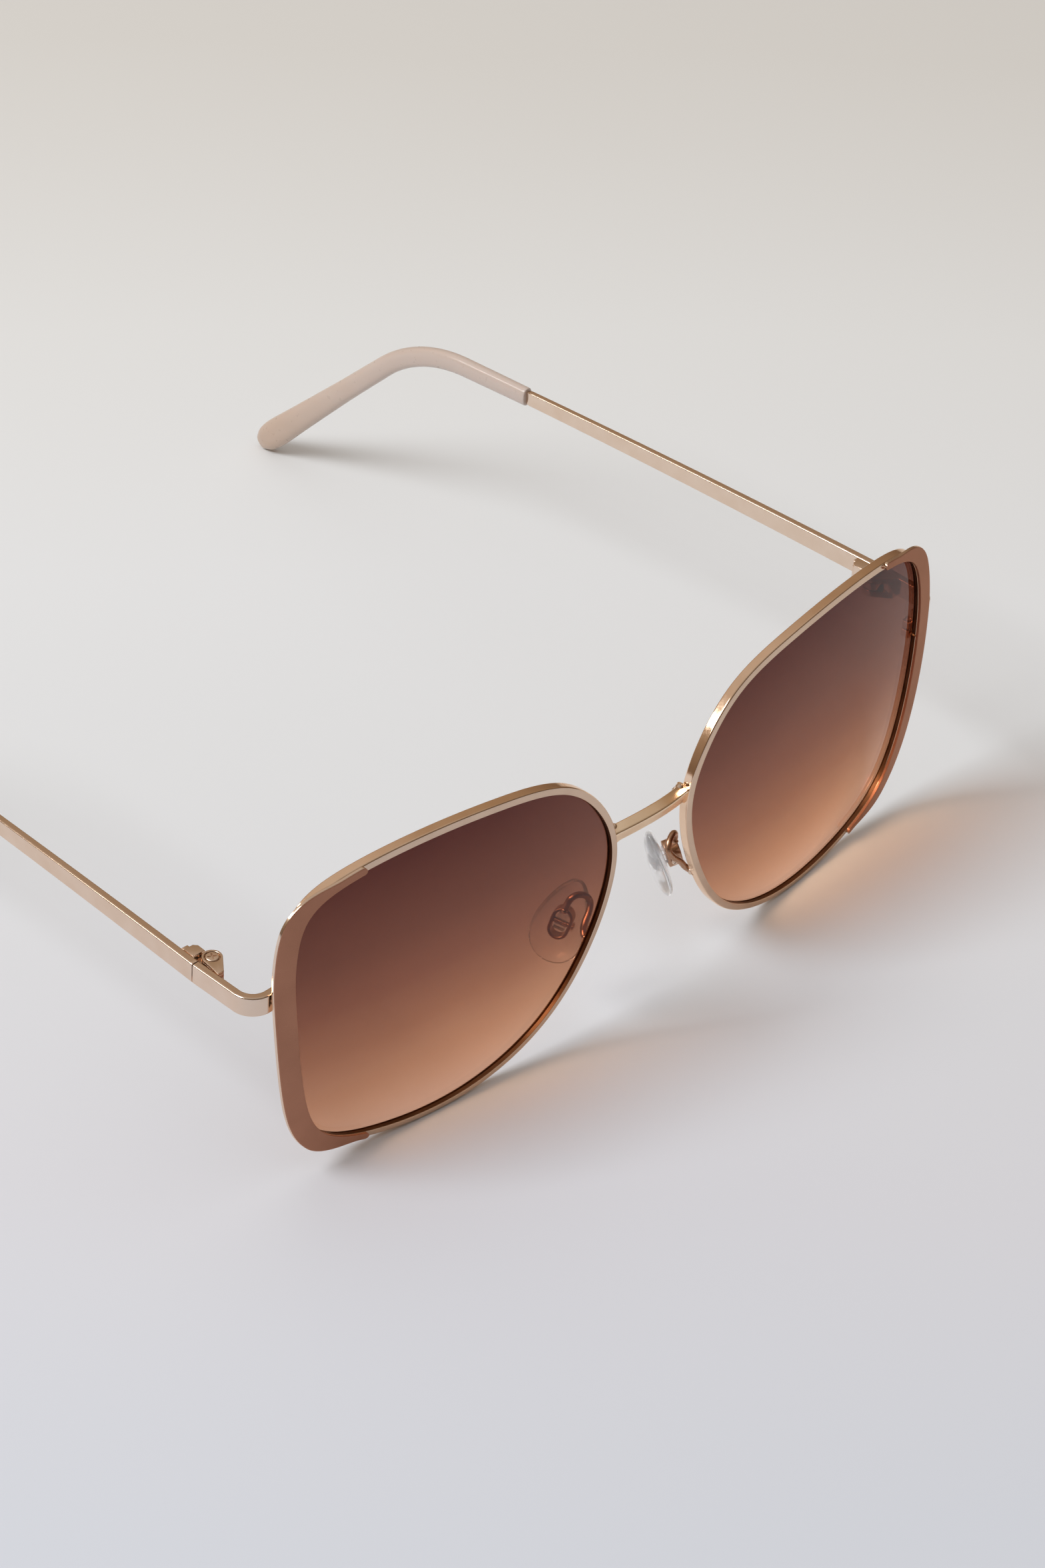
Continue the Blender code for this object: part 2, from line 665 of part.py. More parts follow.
def oval(width, height, steps=8):
    """A flat outline with round ends, its half height along X."""
    end = [(height - width + width * math.cos(angle), width * math.sin(angle))
           for angle in np.linspace(-math.pi / 2, math.pi / 2, steps + 1)]
    return end + [(-x, -y) for x, y in end]


def make_pad(front_pad_pivot, pad_pivot):
    """Pad box and screw on the front, and the clear pad that rocks on the screw."""
    depth, width, height = (size / 2 for size in BOX_SIZE)
    lying = Matrix.Rotation(math.pi / 2, 4, "Y")
    ring = prism("pad_box_left", oval(width, height), 2 * depth)
    ring.transform(lying)
    box = new_part("pad_box_left", ring, front_pad_pivot, GOLD)
    add_boolean(box, prism("box_opening", oval(width - BOX_WALL, height - BOX_WALL), 6 * depth),
                matrix=lying)
    across = Matrix.Rotation(math.pi / 2, 4, "X")
    add_boolean(box, cylinder("box_bore", PAD_HOLE_RADIUS, -2 * width, 2 * width, 16),
                matrix=across)
    pin = screw("pad_screw_left", front_pad_pivot, 0.7 * MM, 0.35 * MM,
                PAD_HOLE_RADIUS - SCREW_CLEARANCE, width + 0.45 * MM, -width - 0.1 * MM,
                0.2 * MM, 1, across)

    shape = bmesh.new()
    bmesh.ops.create_uvsphere(shape, u_segments=20, v_segments=12, radius=1)
    for vertex in shape.verts:
        x, y, z = vertex.co
        drop = 1 - 0.28 * z
        vertex.co = (PAD_OFFSET + x * PAD_THICKNESS / 2 + 0.5 * MM * y * y,
                     y * drop * PAD_WIDTH / 2, z * PAD_LENGTH / 2 - 0.8 * MM)
    pad = new_part("nose_pad_left", finish_mesh("nose_pad_left", shape), pad_pivot, PVC)
    stem = block("pad_stem", (PAD_OFFSET, -STEM_WIDTH / 2, -STEM_HEIGHT / 2),
                 (depth - 0.8 * MM, STEM_WIDTH / 2, STEM_HEIGHT / 2))
    add_boolean(pad, stem, "UNION")
    add_boolean(pad, cylinder("pad_bore", PAD_HOLE_RADIUS, -2 * width, 2 * width, 16),
                matrix=across)
    return [box, pin], [pad]


# Assembly ----------------------------------------------------------------------------------

def mirror_part(obj, parent):
    """The wearer's right-hand copy of a left-hand part, in its own frame."""
    name = obj.name.replace("_left", "_right")
    mesh = mesh_of(obj, name)
    mesh.transform(obj.matrix_local)
    mesh.transform(Matrix.Scale(-1, 4, (1, 0, 0)))
    mesh.flip_normals()
    return new_part(name, mesh, parent, obj.data.materials[0])


def mirror_rotation(rotation):
    """Euler angles of a frame mirrored across the middle plane."""
    return (rotation[0], -rotation[1], -rotation[2])


def stand_on_ground(root, parts):
    """Move the model so that the centre of its box's base is the origin."""
    bpy.context.view_layer.update()
    depsgraph = bpy.context.evaluated_depsgraph_get()
    corners = []
    for part in parts:
        evaluated = part.evaluated_get(depsgraph)
        mesh = evaluated.to_mesh()
        corners += [evaluated.matrix_world @ vertex.co for vertex in mesh.vertices]
        evaluated.to_mesh_clear()
    low = Vector([min(point[i] for point in corners) for i in range(3)])
    high = Vector([max(point[i] for point in corners) for i in range(3)])
    root.location -= Vector(((low.x + high.x) / 2, (low.y + high.y) / 2, low.z))


clear_scene()
PARTS = new_collection("sunglasses")
CUTTERS = new_collection("cutters")

GOLD = new_material("rose_gold", (0.83, 0.60, 0.43), 1.0, 0.18)
SCREW = new_material("gold_screw", (0.80, 0.66, 0.54), 1.0, 0.28)
TAUPE = new_material("taupe_enamel", (0.27, 0.13, 0.09), 0.1, 0.35)
LENS = new_material("gradient_lens", (0.22, 0.10, 0.07), 0.0, 0.05, 0.8)
ACETATE = new_material("pink_acetate", (0.70, 0.45, 0.36), 0.0, 0.3)
PVC = new_material("clear_pvc", (0.85, 0.87, 0.90), 0.0, 0.15, 0.4)

FRONT = new_empty("front", None, rotation=(REST_TILT, 0, 0))
HINGE_TURN = (0, 0, SPLAY)
SIDES = {}
for side, sign in (("left", 1), ("right", -1)):
    axis = (sign * HINGE_AXIS[0], *HINGE_AXIS[1:])
    turn = HINGE_TURN if sign > 0 else mirror_rotation(HINGE_TURN)
    pad_at = (sign * PAD_PIVOT[0], *PAD_PIVOT[1:])
    pad_turn = PAD_TURN if sign > 0 else mirror_rotation(PAD_TURN)
    SIDES[side] = {
        "front": FRONT,
        "hinge": new_empty("hinge_" + side, FRONT, axis, turn),
        "temple": new_empty("temple_axis_" + side, FRONT, axis, turn),
        "pad_mount": new_empty("pad_mount_" + side, FRONT, pad_at, pad_turn),
        "pad": new_empty("pad_axis_" + side, FRONT, pad_at, pad_turn),
    }
LEFT = SIDES["left"]

groups = {"front": [make_eyewire(), make_lens(), make_wing_plate(), make_end_piece(),
                    make_pad_arm()] + make_closing_blocks()}
groups["hinge"], groups["temple"] = make_hinge(LEFT["temple"], LEFT["hinge"])
groups["temple"] += make_temple(LEFT["temple"])
groups["pad_mount"], groups["pad"] = make_pad(LEFT["pad_mount"], LEFT["pad"])

everything = [make_bridge()]
for frame_name, members in groups.items():
    for member in members:
        everything += [member, mirror_part(member, SIDES["right"][frame_name])]
stand_on_ground(FRONT, everything)
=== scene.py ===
"""Looks of the oversized butterfly sunglasses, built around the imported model.

Row frame: metres, +X to the wearer's left, +Y back along the temples, +Z up.
The wearer's left side is modelled, and the right side is its mirror image.
"""
import json
import math

import bmesh
import bpy
import numpy as np
from mathutils import Euler, Matrix, Vector


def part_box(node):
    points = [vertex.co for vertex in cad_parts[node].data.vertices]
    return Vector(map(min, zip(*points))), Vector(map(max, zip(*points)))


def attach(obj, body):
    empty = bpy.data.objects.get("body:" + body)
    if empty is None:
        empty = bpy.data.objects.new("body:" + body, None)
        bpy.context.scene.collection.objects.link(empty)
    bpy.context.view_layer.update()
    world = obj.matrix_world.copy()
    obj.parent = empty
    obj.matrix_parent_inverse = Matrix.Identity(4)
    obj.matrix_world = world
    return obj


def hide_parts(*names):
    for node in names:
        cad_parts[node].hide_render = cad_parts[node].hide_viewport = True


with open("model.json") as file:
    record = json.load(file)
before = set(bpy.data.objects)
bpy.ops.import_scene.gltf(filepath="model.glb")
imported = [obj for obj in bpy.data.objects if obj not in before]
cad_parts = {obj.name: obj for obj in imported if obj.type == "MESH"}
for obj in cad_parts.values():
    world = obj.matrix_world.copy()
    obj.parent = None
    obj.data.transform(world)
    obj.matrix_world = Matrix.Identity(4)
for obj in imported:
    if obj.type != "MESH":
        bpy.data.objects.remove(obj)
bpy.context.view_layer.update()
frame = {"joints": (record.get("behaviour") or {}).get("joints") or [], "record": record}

MM = 0.001

# The design's driving dimensions, in millimetres and in the front's own frame ---------------

LENS_CENTRE = 37.5
LENS_OUTLINE = [
    (28.9, 8.0), (28.7, 13.6), (26.7, 20.1), (20.3, 23.8), (7.0, 25.4), (-6.6, 24.7),
    (-18.7, 21.6), (-25.8, 14.9), (-28.9, 5.6), (-24.8, -8.8), (-16.0, -19.8),
    (-2.6, -24.9), (12.0, -24.4), (22.5, -20.3), (27.2, -9.3),
]
WRAP = math.radians(5.9)
BASE_RADIUS = 176
WIRE_WIDTH = 1.19
WIRE_FRONT = 0.15
WIRE_BACK = 1.7
WIRE_SPLIT = 0.3
WIRE_SPLIT_AT = -2.0
GROOVE_TOP = 0.85
GROOVE_BOTTOM = 1.5
GROOVE_DEPTH = 0.5

PLATE_WIDTH = 3.3
PLATE_THICKNESS = 0.55
PLATE_TOP_END = 23.4
PLATE_TOP_FULL = (20.0, 10.0)
PLATE_BOTTOM_END = -38.0
PLATE_BOTTOM_FULL = (-37.0, -29.0)

BRIDGE_END = (7.1, 1.0, 8.3)
BRIDGE_RISE = 1.2
BRIDGE_REACH = 1.42
BRIDGE_HEIGHT = 2.1
BRIDGE_DEPTH = 1.9

HINGE_AXIS = (70.13, 18.2, 7.9)
SPLAY = math.radians(2.5)
KNUCKLE_RADIUS = 1.5
KNUCKLE_HEIGHT = 1.1
KNUCKLE_GAP = 0.15
TONGUE_HEIGHT = 1.2
HINGE_HOLE_RADIUS = 0.7
LEAF_INNER = 0.75
LEAF_OUTER = 1.85
LEAF_LENGTH = 3.4
TEMPLE_LEAF_START = 1.8
TEMPLE_LEAF_LENGTH = 4.4
LEAF_BLOCK = (1.9, 3.9)
LEAF_BLOCK_REACH = -0.3

BAR_HEIGHT = 3.3
BAR_THICKNESS = 1.3
BAR_ROUNDING = 0.28
BAR_OFFSET = 2.5
SEAM = 0.6
SEAM_GAP = 0.15
END_PIECE_BEND = (72.6, 7.6)
END_PIECE_ROOT = 66.9
END_PIECE_RADIUS = 3.0
BAR_TAPER = 0.76
TEMPLE_DROP = 2.6
SLEEVE_START = 73.6
BEND_CORNER = 98.6
BEND_RADIUS = 26
BEND_ANGLE = math.radians(43.5)
TIP_LENGTH = 50
SLEEVE_SECTIONS = [
    (0.0, 1.1, 1.6), (0.4, 1.2, 1.75), (0.62, 1.3, 1.9), (0.82, 1.45, 2.3),
    (0.93, 1.5, 2.6), (0.97, 1.35, 2.3), (0.99, 0.95, 1.6), (1.0, 0.3, 0.7),
]

BLOCK_CENTRE = (67.05, 8.35, 6.0)
BLOCK_SIZE = (1.5, 1.5, 1.3)
CLOSING_HOLE_RADIUS = 0.42

PAD_PIVOT = (12.2, 5.7, -8.0)
PAD_TURN = (math.radians(14), math.radians(-18), math.radians(-30))
ARM_RADIUS = 0.5
ARM_ROUTE = [
    (12.0, 0.7, -9.0), (11.3, 2.1, -8.3), (10.6, 2.6, -7.2), (9.4, 3.0, -6.0), (8.7, 3.5, -4.8),
    (9.2, 4.0, -3.7), (10.4, 4.5, -3.2), (11.4, 4.9, -3.6), (11.9, 5.2, -4.8), (12.0, 5.4, -5.6),
]
BOX_SIZE = (2.2, 3.2, 5.0)
BOX_WALL = 0.45
STEM_WIDTH = 1.7
STEM_HEIGHT = 2.6
STEM_END = 0.3
PAD_HOLE_RADIUS = 0.5
PAD_OFFSET = -2.7
PAD_LENGTH = 14
PAD_WIDTH = 8.2
PAD_THICKNESS = 2.4

# Frames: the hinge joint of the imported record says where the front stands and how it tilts.
RECORD = frame["record"]
HINGE_JOINT = next(j for j in frame["joints"] if j["name"] == "temple_fold_left")
TILT = math.atan2(-HINGE_JOINT["axis"][1], HINGE_JOINT["axis"][2])
TURN = Matrix.Rotation(TILT, 4, "X")
PLACE = Vector(HINGE_JOINT["pos_m"]) - TURN @ (Vector(HINGE_AXIS) * MM)
FRONT = Matrix.Translation(PLACE) @ TURN @ Matrix.Scale(MM, 4)
HINGE = FRONT @ Matrix.Translation(HINGE_AXIS) @ Matrix.Rotation(SPLAY, 4, "Z")
PAD = FRONT @ Matrix.Translation(PAD_PIVOT) @ Euler(PAD_TURN).to_matrix().to_4x4()
ACROSS = Matrix.Rotation(math.pi / 2, 4, "X")
BODY_OF = {node: body for body, nodes in RECORD["behaviour"]["bodies"].items() for node in nodes}


# Outline of the lens opening ----------------------------------------------------------------

def closed_spline(points, steps_per_span=60):
    """Points of the smooth closed cubic curve through the given points."""
    knots = np.array(points, float)
    following = np.roll(knots, -1, axis=0)
    spans = np.sqrt(np.linalg.norm(following - knots, axis=1))
    slopes = (following - knots) / spans[:, None]
    count = len(knots)
    system = np.zeros((count, count))
    for i in range(count):
        system[i, i - 1] = spans[i - 1]
        system[i, i] = 2 * (spans[i - 1] + spans[i])
        system[i, (i + 1) % count] = spans[i]
    bend = np.linalg.solve(system, 6 * (slopes - np.roll(slopes, 1, axis=0)))
    curve = []
    for i in range(count):
        j = (i + 1) % count
        for t in np.linspace(0, 1, steps_per_span, endpoint=False):
            start, end = 1 - t, t
            curved = (start**3 - start) * bend[i] + (end**3 - end) * bend[j]
            curve.append(start * knots[i] + end * knots[j] + curved * spans[i]**2 / 6)
    return np.array(curve)


def open_spline(points, steps_per_span=10):
    """Points of a smooth curve through the given points (Catmull-Rom)."""
    knots = [Vector(p) for p in points]
    knots = [knots[0] * 2 - knots[1]] + knots + [knots[-1] * 2 - knots[-2]]
    curve = []
    for a, b, c, d in zip(knots, knots[1:], knots[2:], knots[3:]):
        for i in range(steps_per_span):
            t = i / steps_per_span
            curve.append(0.5 * (2 * b + (c - a) * t + (2 * a - 5 * b + 4 * c - d) * t * t
                                + (3 * b - a - 3 * c + d) * t**3))
    return curve + [knots[-2]]


OUTLINE = closed_spline(LENS_OUTLINE)
STEPS = np.linalg.norm(np.roll(OUTLINE, -1, axis=0) - OUTLINE, axis=1)
ARC = np.concatenate([[0], np.cumsum(STEPS)[:-1]])
PERIMETER = STEPS.sum()
TANGENTS = np.roll(OUTLINE, -1, axis=0) - np.roll(OUTLINE, 1, axis=0)
TANGENTS /= np.linalg.norm(TANGENTS, axis=1)[:, None]


def front_depth(x, z):
    """Depth of the front's curved face at a point about the lens centre."""
    return x * math.tan(WRAP) + (x * x + z * z) / (2 * BASE_RADIUS)


def rim_point(arc, outward, back):
    """Point beside the lens opening; arc runs from the end piece, upwards and over the brow."""
    x, z, tx, tz = (
        np.interp(arc, ARC, values, period=PERIMETER)
        for values in (OUTLINE[:, 0], OUTLINE[:, 1], TANGENTS[:, 0], TANGENTS[:, 1])
    )
    x += outward * tz
    z -= outward * tx
    return Vector((LENS_CENTRE + x, front_depth(x, z) + back, z))


# Mesh helpers -------------------------------------------------------------------------------

def new_object(name, mesh, materials):
    """An object for a mesh, with its materials."""
    obj = bpy.data.objects.new(name, mesh)
    bpy.context.scene.collection.objects.link(obj)
    for material in materials:
        mesh.materials.append(material)
    return obj


def finish_mesh(mesh, matrix, sharp=32):
    """Place a mesh, turn its faces outwards and shade it smooth up to an angle."""
    mesh.transform(matrix)
    shape = bmesh.new()
    shape.from_mesh(mesh)
    bmesh.ops.recalc_face_normals(shape, faces=shape.faces)
    shape.to_mesh(mesh)
    shape.free()
    mesh.shade_smooth()
    mesh.set_sharp_from_angle(angle=math.radians(sharp))


def loft(name, rings, matrix, materials, columns=None, loop=False, sharp=32):
    """A solid through rings of equal count; columns gives each side strip's material."""
    count = len(rings[0])
    verts = [tuple(point) for ring in rings for point in ring]
    faces, kinds = [], []
    pairs = list(range(len(rings) - (0 if loop else 1)))
    for i in pairs:
        here, there = i * count, ((i + 1) % len(rings)) * count
        for j in range(count):
            k = (j + 1) % count
            faces.append((here + j, here + k, there + k, there + j))
            kinds.append(columns[j] if columns else 0)
    if not loop:
        faces += [tuple(range(count)), tuple(range((len(rings) - 1) * count, len(rings) * count))]
        kinds += [0, 0]
    mesh = bpy.data.meshes.new(name)
    mesh.from_pydata(verts, [], faces)
    mesh.polygons.foreach_set("material_index", kinds)
    finish_mesh(mesh, matrix, sharp)
    return new_object(name, mesh, materials)


def rounded_profile(corners, steps=5, hold=0.04):
    """A closed outline from corners (x, y, radius), with the radii as arcs."""
    points = []
    count = len(corners)
    for i, (x, y, radius) in enumerate(corners):
        corner = Vector((x, y))
        back = (Vector(corners[i - 1][:2]) - corner).normalized()
        ahead = (Vector(corners[(i + 1) % count][:2]) - corner).normalized()
        if not radius:
            points.append(tuple(corner))
            continue
        half = back.angle(ahead) / 2
        centre = corner + (back + ahead).normalized() * (radius / math.sin(half))
        reach = radius / math.tan(half)
        first, last = corner + back * reach - centre, corner + ahead * reach - centre
        points.append(tuple(corner + back * (reach + hold)))
        for step in range(steps + 1):
            swing = first.to_3d().slerp(last.to_3d(), step / steps).normalized() * radius
            points.append((centre.x + swing.x, centre.y + swing.y))
        points.append(tuple(corner + ahead * (reach + hold)))
    return points


def rounded_box_profile(width, height, radius, steps=5):
    """The outline of a rectangle with rounded corners."""
    x, y = width / 2, height / 2
    return rounded_profile([(x, -y, radius), (x, y, radius), (-x, y, radius), (-x, -y, radius)],
                           steps)


def rounded_path(start, corner, end, radius, steps=40):
    """A path with its one corner replaced by an arc."""
    start, corner, end = Vector(start), Vector(corner), Vector(end)
    back, ahead = (start - corner).normalized(), (end - corner).normalized()
    half = back.angle(ahead) / 2
    centre = corner + (back + ahead).normalized() * (radius / math.sin(half))
    first = corner + back * (radius / math.tan(half)) - centre
    last = corner + ahead * (radius / math.tan(half)) - centre
    arc = [centre + first.slerp(last, i / steps).normalized() * radius for i in range(steps + 1)]
    return [start] + arc + [end]


def path_table(points):
    """Arc length at each point of a path."""
    lengths = [0.0]
    for first, second in zip(points, points[1:]):
        lengths.append(lengths[-1] + (second - first).length)
    return lengths


def along_path(points, lengths, distance):
    """Point and direction at a distance along a path."""
    index = min(max(int(np.searchsorted(lengths, distance)) - 1, 0), len(points) - 2)
    direction = (points[index + 1] - points[index]).normalized()
    return points[index] + direction * (distance - lengths[index]), direction


def respace(points, spacing):
    """The same path with points evenly spaced."""
    lengths = path_table(points)
    count = max(int(lengths[-1] / spacing), 2)
    return [along_path(points, lengths, lengths[-1] * i / count)[0] for i in range(count + 1)]


def sweep(name, points, section, matrix, materials, up=(0, 0, 1), scales=None, end_round=0.08):
    """A bar of a section (side, up) along a path, with its end edges eased."""
    up = Vector(up)
    rings = []
    count = len(points)
    width = max(x for x, _ in section) - min(x for x, _ in section)
    height = max(y for _, y in section) - min(y for _, y in section)
    for i, point in enumerate(points):
        direction = (points[min(i + 1, count - 1)] - points[max(i - 1, 0)]).normalized()
        side = direction.cross(up).normalized()
        lift = side.cross(direction)
        scale_x, scale_y = scales[i] if scales else (1, 1)
        inward, passes = direction, [(0, 0)]
        if end_round and i in (0, count - 1):
            passes = [(end_round * (1 - math.sin(a)), end_round * (1 - math.cos(a)))
                      for a in np.radians((0, 30, 60, 90))]
            if i:
                inward = -direction
                passes.reverse()
        for inset, depth in passes:
            shrink_x = scale_x * (1 - 2 * inset / width)
            shrink_y = scale_y * (1 - 2 * inset / height)
            base = point + inward * depth
            rings.append([base + side * x * shrink_x + lift * y * shrink_y for x, y in section])
    return loft(name, rings, matrix, materials)


def flat_part(name, outlines, low, high, matrix, materials, bevel=0.1, steps=3):
    """A plate between two heights from flat outlines (holes inside), its edges rounded."""
    curve = bpy.data.curves.new(name, "CURVE")
    curve.dimensions = "2D"
    curve.fill_mode = "BOTH"
    for outline in outlines:
        spline = curve.splines.new("POLY")
        spline.points.add(len(outline) - 1)
        for i, (x, y) in enumerate(outline):
            spline.points[i].co = (x, y, 0, 1)
        spline.use_cyclic_u = True
    curve.extrude = (high - low) / 2 - bevel
    curve.bevel_depth = bevel
    curve.bevel_resolution = steps
    curve.offset = -bevel
    holder = bpy.data.objects.new(name, curve)
    bpy.context.scene.collection.objects.link(holder)
    bpy.context.view_layer.update()
    evaluated = holder.evaluated_get(bpy.context.evaluated_depsgraph_get())
    mesh = bpy.data.meshes.new_from_object(evaluated)
    bpy.data.objects.remove(holder)
    bpy.data.curves.remove(curve)
    mesh.name = name
    mesh.materials.clear()
    mesh.transform(Matrix.Translation((0, 0, (low + high) / 2)))
    shape = bmesh.new()
    shape.from_mesh(mesh)
    bmesh.ops.remove_doubles(shape, verts=shape.verts, dist=0.001)
    shape.to_mesh(mesh)
    shape.free()
    finish_mesh(mesh, matrix)
    return new_object(name, mesh, materials)


def circle(radius, count=48):
    """Points of a circle."""
    return [(radius * math.cos(a), radius * math.sin(a))
            for a in np.linspace(0, 2 * math.pi, count, endpoint=False)]


def turned(name, profile, matrix, materials, count=48):
    """A solid of revolution about Z from a profile (radius, height), top to bottom."""
    rings = []
    for radius, height in profile:
        rings.append([Vector((radius * math.cos(a), radius * math.sin(a), height))
                      for a in np.linspace(0, 2 * math.pi, count, endpoint=False)])
    return loft(name, rings, matrix, materials)


def join(name, objects):
    """One object from several, keeping their materials."""
    shape = bmesh.new()
    slots = []
    for obj in objects:
        start = len(shape.faces)
        shape.from_mesh(obj.data)
        shape.faces.ensure_lookup_table()
        for face in shape.faces[start:]:
            material = obj.data.materials[face.material_index]
            if material not in slots:
                slots.append(material)
            face.material_index = slots.index(material)
    mesh = bpy.data.meshes.new(name)
    shape.to_mesh(mesh)
    shape.free()
    for obj in objects:
        old = obj.data
        bpy.data.objects.remove(obj)
        bpy.data.meshes.remove(old)
    return new_object(name, mesh, slots)


def cut(obj, cutters):
    """Take the cutters' shapes out of an object."""
    for cutter in cutters:
        modifier = obj.modifiers.new("cut", "BOOLEAN")
        modifier.object = cutter
    bpy.context.view_layer.update()
    evaluated = obj.evaluated_get(bpy.context.evaluated_depsgraph_get())
    mesh = bpy.data.meshes.new_from_object(evaluated)
    old = obj.data
    obj.modifiers.clear()
    obj.data = mesh
    bpy.data.meshes.remove(old)
    for cutter in cutters:
        old = cutter.data
        bpy.data.objects.remove(cutter)
        bpy.data.meshes.remove(old)
    mesh.shade_smooth()
    mesh.set_sharp_from_angle(angle=math.radians(32))
    return obj


# Materials ----------------------------------------------------------------------------------

def fill_ramp(node, stops):
    """Set the stops (position, colour) of a colour ramp."""
    elements = node.color_ramp.elements
    while len(elements) < len(stops):
        elements.new(0.5)
    for element, (position, colour) in zip(elements, stops):
        element.position = position
        element.color = (*colour, 1)


class Nodes:
    """Small wrapper that adds and links shader nodes."""

    def __init__(self, name):
        self.material = bpy.data.materials.new(name)
        self.material.use_nodes = True
        self.tree = self.material.node_tree
        self.shader = self.tree.nodes["Principled BSDF"]
        self.output = self.tree.nodes["Material Output"]
        self.place = self.add("ShaderNodeTexCoord").outputs["Object"]

    def add(self, kind, **inputs):
        node = self.tree.nodes.new(kind)
        for key, value in inputs.items():
            node.inputs[key.replace("_", " ")].default_value = value
        return node

    def link(self, source, target):
        self.tree.links.new(source, target)

    def noise(self, scale, detail=3.0, stretch=None):
        """Noise over the surface, scale in features per metre."""
        node = self.add("ShaderNodeTexNoise", Scale=scale, Detail=detail)
        place = self.place
        if stretch:
            mapping = self.add("ShaderNodeMapping")
            mapping.inputs["Scale"].default_value = stretch
            self.link(place, mapping.inputs["Vector"])
            place = mapping.outputs["Vector"]
        self.link(place, node.inputs["Vector"])
        return node.outputs["Fac"]

    def ramp(self, source, stops):
        """Colours (position, colour) along a value."""
        node = self.add("ShaderNodeValToRGB")
        fill_ramp(node, stops)
        self.link(source, node.inputs["Fac"])
        return node.outputs["Color"]

    def between(self, source, low, high, start=0.3, end=0.7):
        """A value mapped to a range."""
        node = self.add("ShaderNodeMapRange")
        for key, value in (("From Min", start), ("From Max", end), ("To Min", low),
                           ("To Max", high)):
            node.inputs[key].default_value = value
        self.link(source, node.inputs["Value"])
        return node.outputs["Result"]

    def math(self, operation, a, b):
        node = self.add("ShaderNodeMath")
        node.operation = operation
        for socket, value in zip(node.inputs, (a, b)):
            if isinstance(value, (int, float)):
                socket.default_value = value
            else:
                self.link(value, socket)
        return node.outputs["Value"]

    def bump(self, height, distance, strength=1.0):
        node = self.add("ShaderNodeBump", Strength=strength, Distance=distance)
        self.link(height, node.inputs["Height"])
        self.link(node.outputs["Normal"], self.shader.inputs["Normal"])
        return node

    def set(self, **values):
        for key, value in values.items():
            self.shader.inputs[key.replace("_", " ")].default_value = value


def metal_material(name, dark, light, rough, scratch=0.0006 * MM, grain=(1, 1, 1)):
    """Polished plated metal: faint cloudiness, worn patches and hairline scratches."""
    n = Nodes(name)
    n.set(Metallic=1.0, Specular_Tint=(1.0, 0.9, 0.82, 1.0))
    cloud = n.noise(260, 4)
    n.link(n.ramp(cloud, [(0.3, dark), (0.7, light)]), n.shader.inputs["Base Color"])
    fine = n.noise(2600, 5, grain)
    mixed = n.math("ADD", n.math("MULTIPLY", cloud, 0.5), n.math("MULTIPLY", fine, 0.5))
    n.link(n.between(mixed, *rough), n.shader.inputs["Roughness"])
    n.bump(fine, scratch)
    return n.material


def enamel_material(name, dark, light, metallic, rough):
    """Satin lacquer with fine metallic flake under a thin clear coat."""
    n = Nodes(name)
    n.set(Metallic=metallic, Coat_Weight=0.03, Coat_Roughness=0.22, Specular_IOR_Level=0.15,
          Specular_Tint=(1.0, 0.62, 0.42, 1.0))
    cloud = n.noise(180, 3)
    flake = n.noise(9000, 2)
    mixed = n.math("ADD", n.math("MULTIPLY", cloud, 0.55), n.math("MULTIPLY", flake, 0.45))
    n.link(n.ramp(mixed, [(0.32, dark), (0.68, light)]), n.shader.inputs["Base Color"])
    n.link(n.between(flake, *rough), n.shader.inputs["Roughness"])
    n.bump(flake, 0.002 * MM, 0.6)
    return n.material


def let_lamps_through(n, colour):
    """Rays from lamps pass the clear material straight, tinted by the colour."""
    clear = n.add("ShaderNodeBsdfTransparent")
    if isinstance(colour, tuple):
        clear.inputs["Color"].default_value = (*colour, 1)
    else:
        n.link(colour, clear.inputs["Color"])
    path = n.add("ShaderNodeLightPath")
    mix = n.add("ShaderNodeMixShader")
    n.link(path.outputs["Is Shadow Ray"], mix.inputs["Fac"])
    n.link(n.shader.outputs["BSDF"], mix.inputs[1])
    n.link(clear.outputs["BSDF"], mix.inputs[2])
    n.link(mix.outputs["Shader"], n.output.inputs["Surface"])


LENS_TINTS = [
    (-24.5, (0.90, 0.55, 0.39)), (-18, (0.77, 0.41, 0.25)), (-14, (0.66, 0.32, 0.18)),
    (-6, (0.435, 0.18, 0.098)), (2, (0.285, 0.103, 0.060)), (10, (0.19, 0.064, 0.040)),
    (24, (0.090, 0.019, 0.014)),
]

# How much of each colour the lens lets through into its shadow, over a small even part.
SHADE = (0.76, 0.78, 0.68)
SHADE_FLOOR = 0.03


def lens_material():
    """Tinted lens: plum brown at the brow, fading to peach at the bottom."""
    n = Nodes("gradient_lens")
    n.set(Transmission_Weight=1.0, IOR=1.27, Roughness=0.0)
    split = n.add("ShaderNodeSeparateXYZ")
    n.link(n.place, split.inputs["Vector"])
    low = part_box("lens_left")[0].z
    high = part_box("lens_left")[1].z
    height = n.between(split.outputs["Z"], 0, 1, low, high)
    ripple = n.between(n.noise(40, 2), -0.012, 0.012)
    span = LENS_TINTS[-1][0] - LENS_TINTS[0][0]
    stops = [((z - LENS_TINTS[0][0]) / span, colour) for z, colour in LENS_TINTS]
    height = n.math("ADD", height, ripple)
    n.link(n.ramp(height, stops), n.shader.inputs["Base Color"])
    # A ray crosses two faces, so each face takes about the square root of the tint.
    halves = [(place, tuple(SHADE_FLOOR + k * c**0.5 for k, c in zip(SHADE, colour)))
              for place, colour in stops]
    let_lamps_through(n, n.ramp(height, halves))
    return n.material


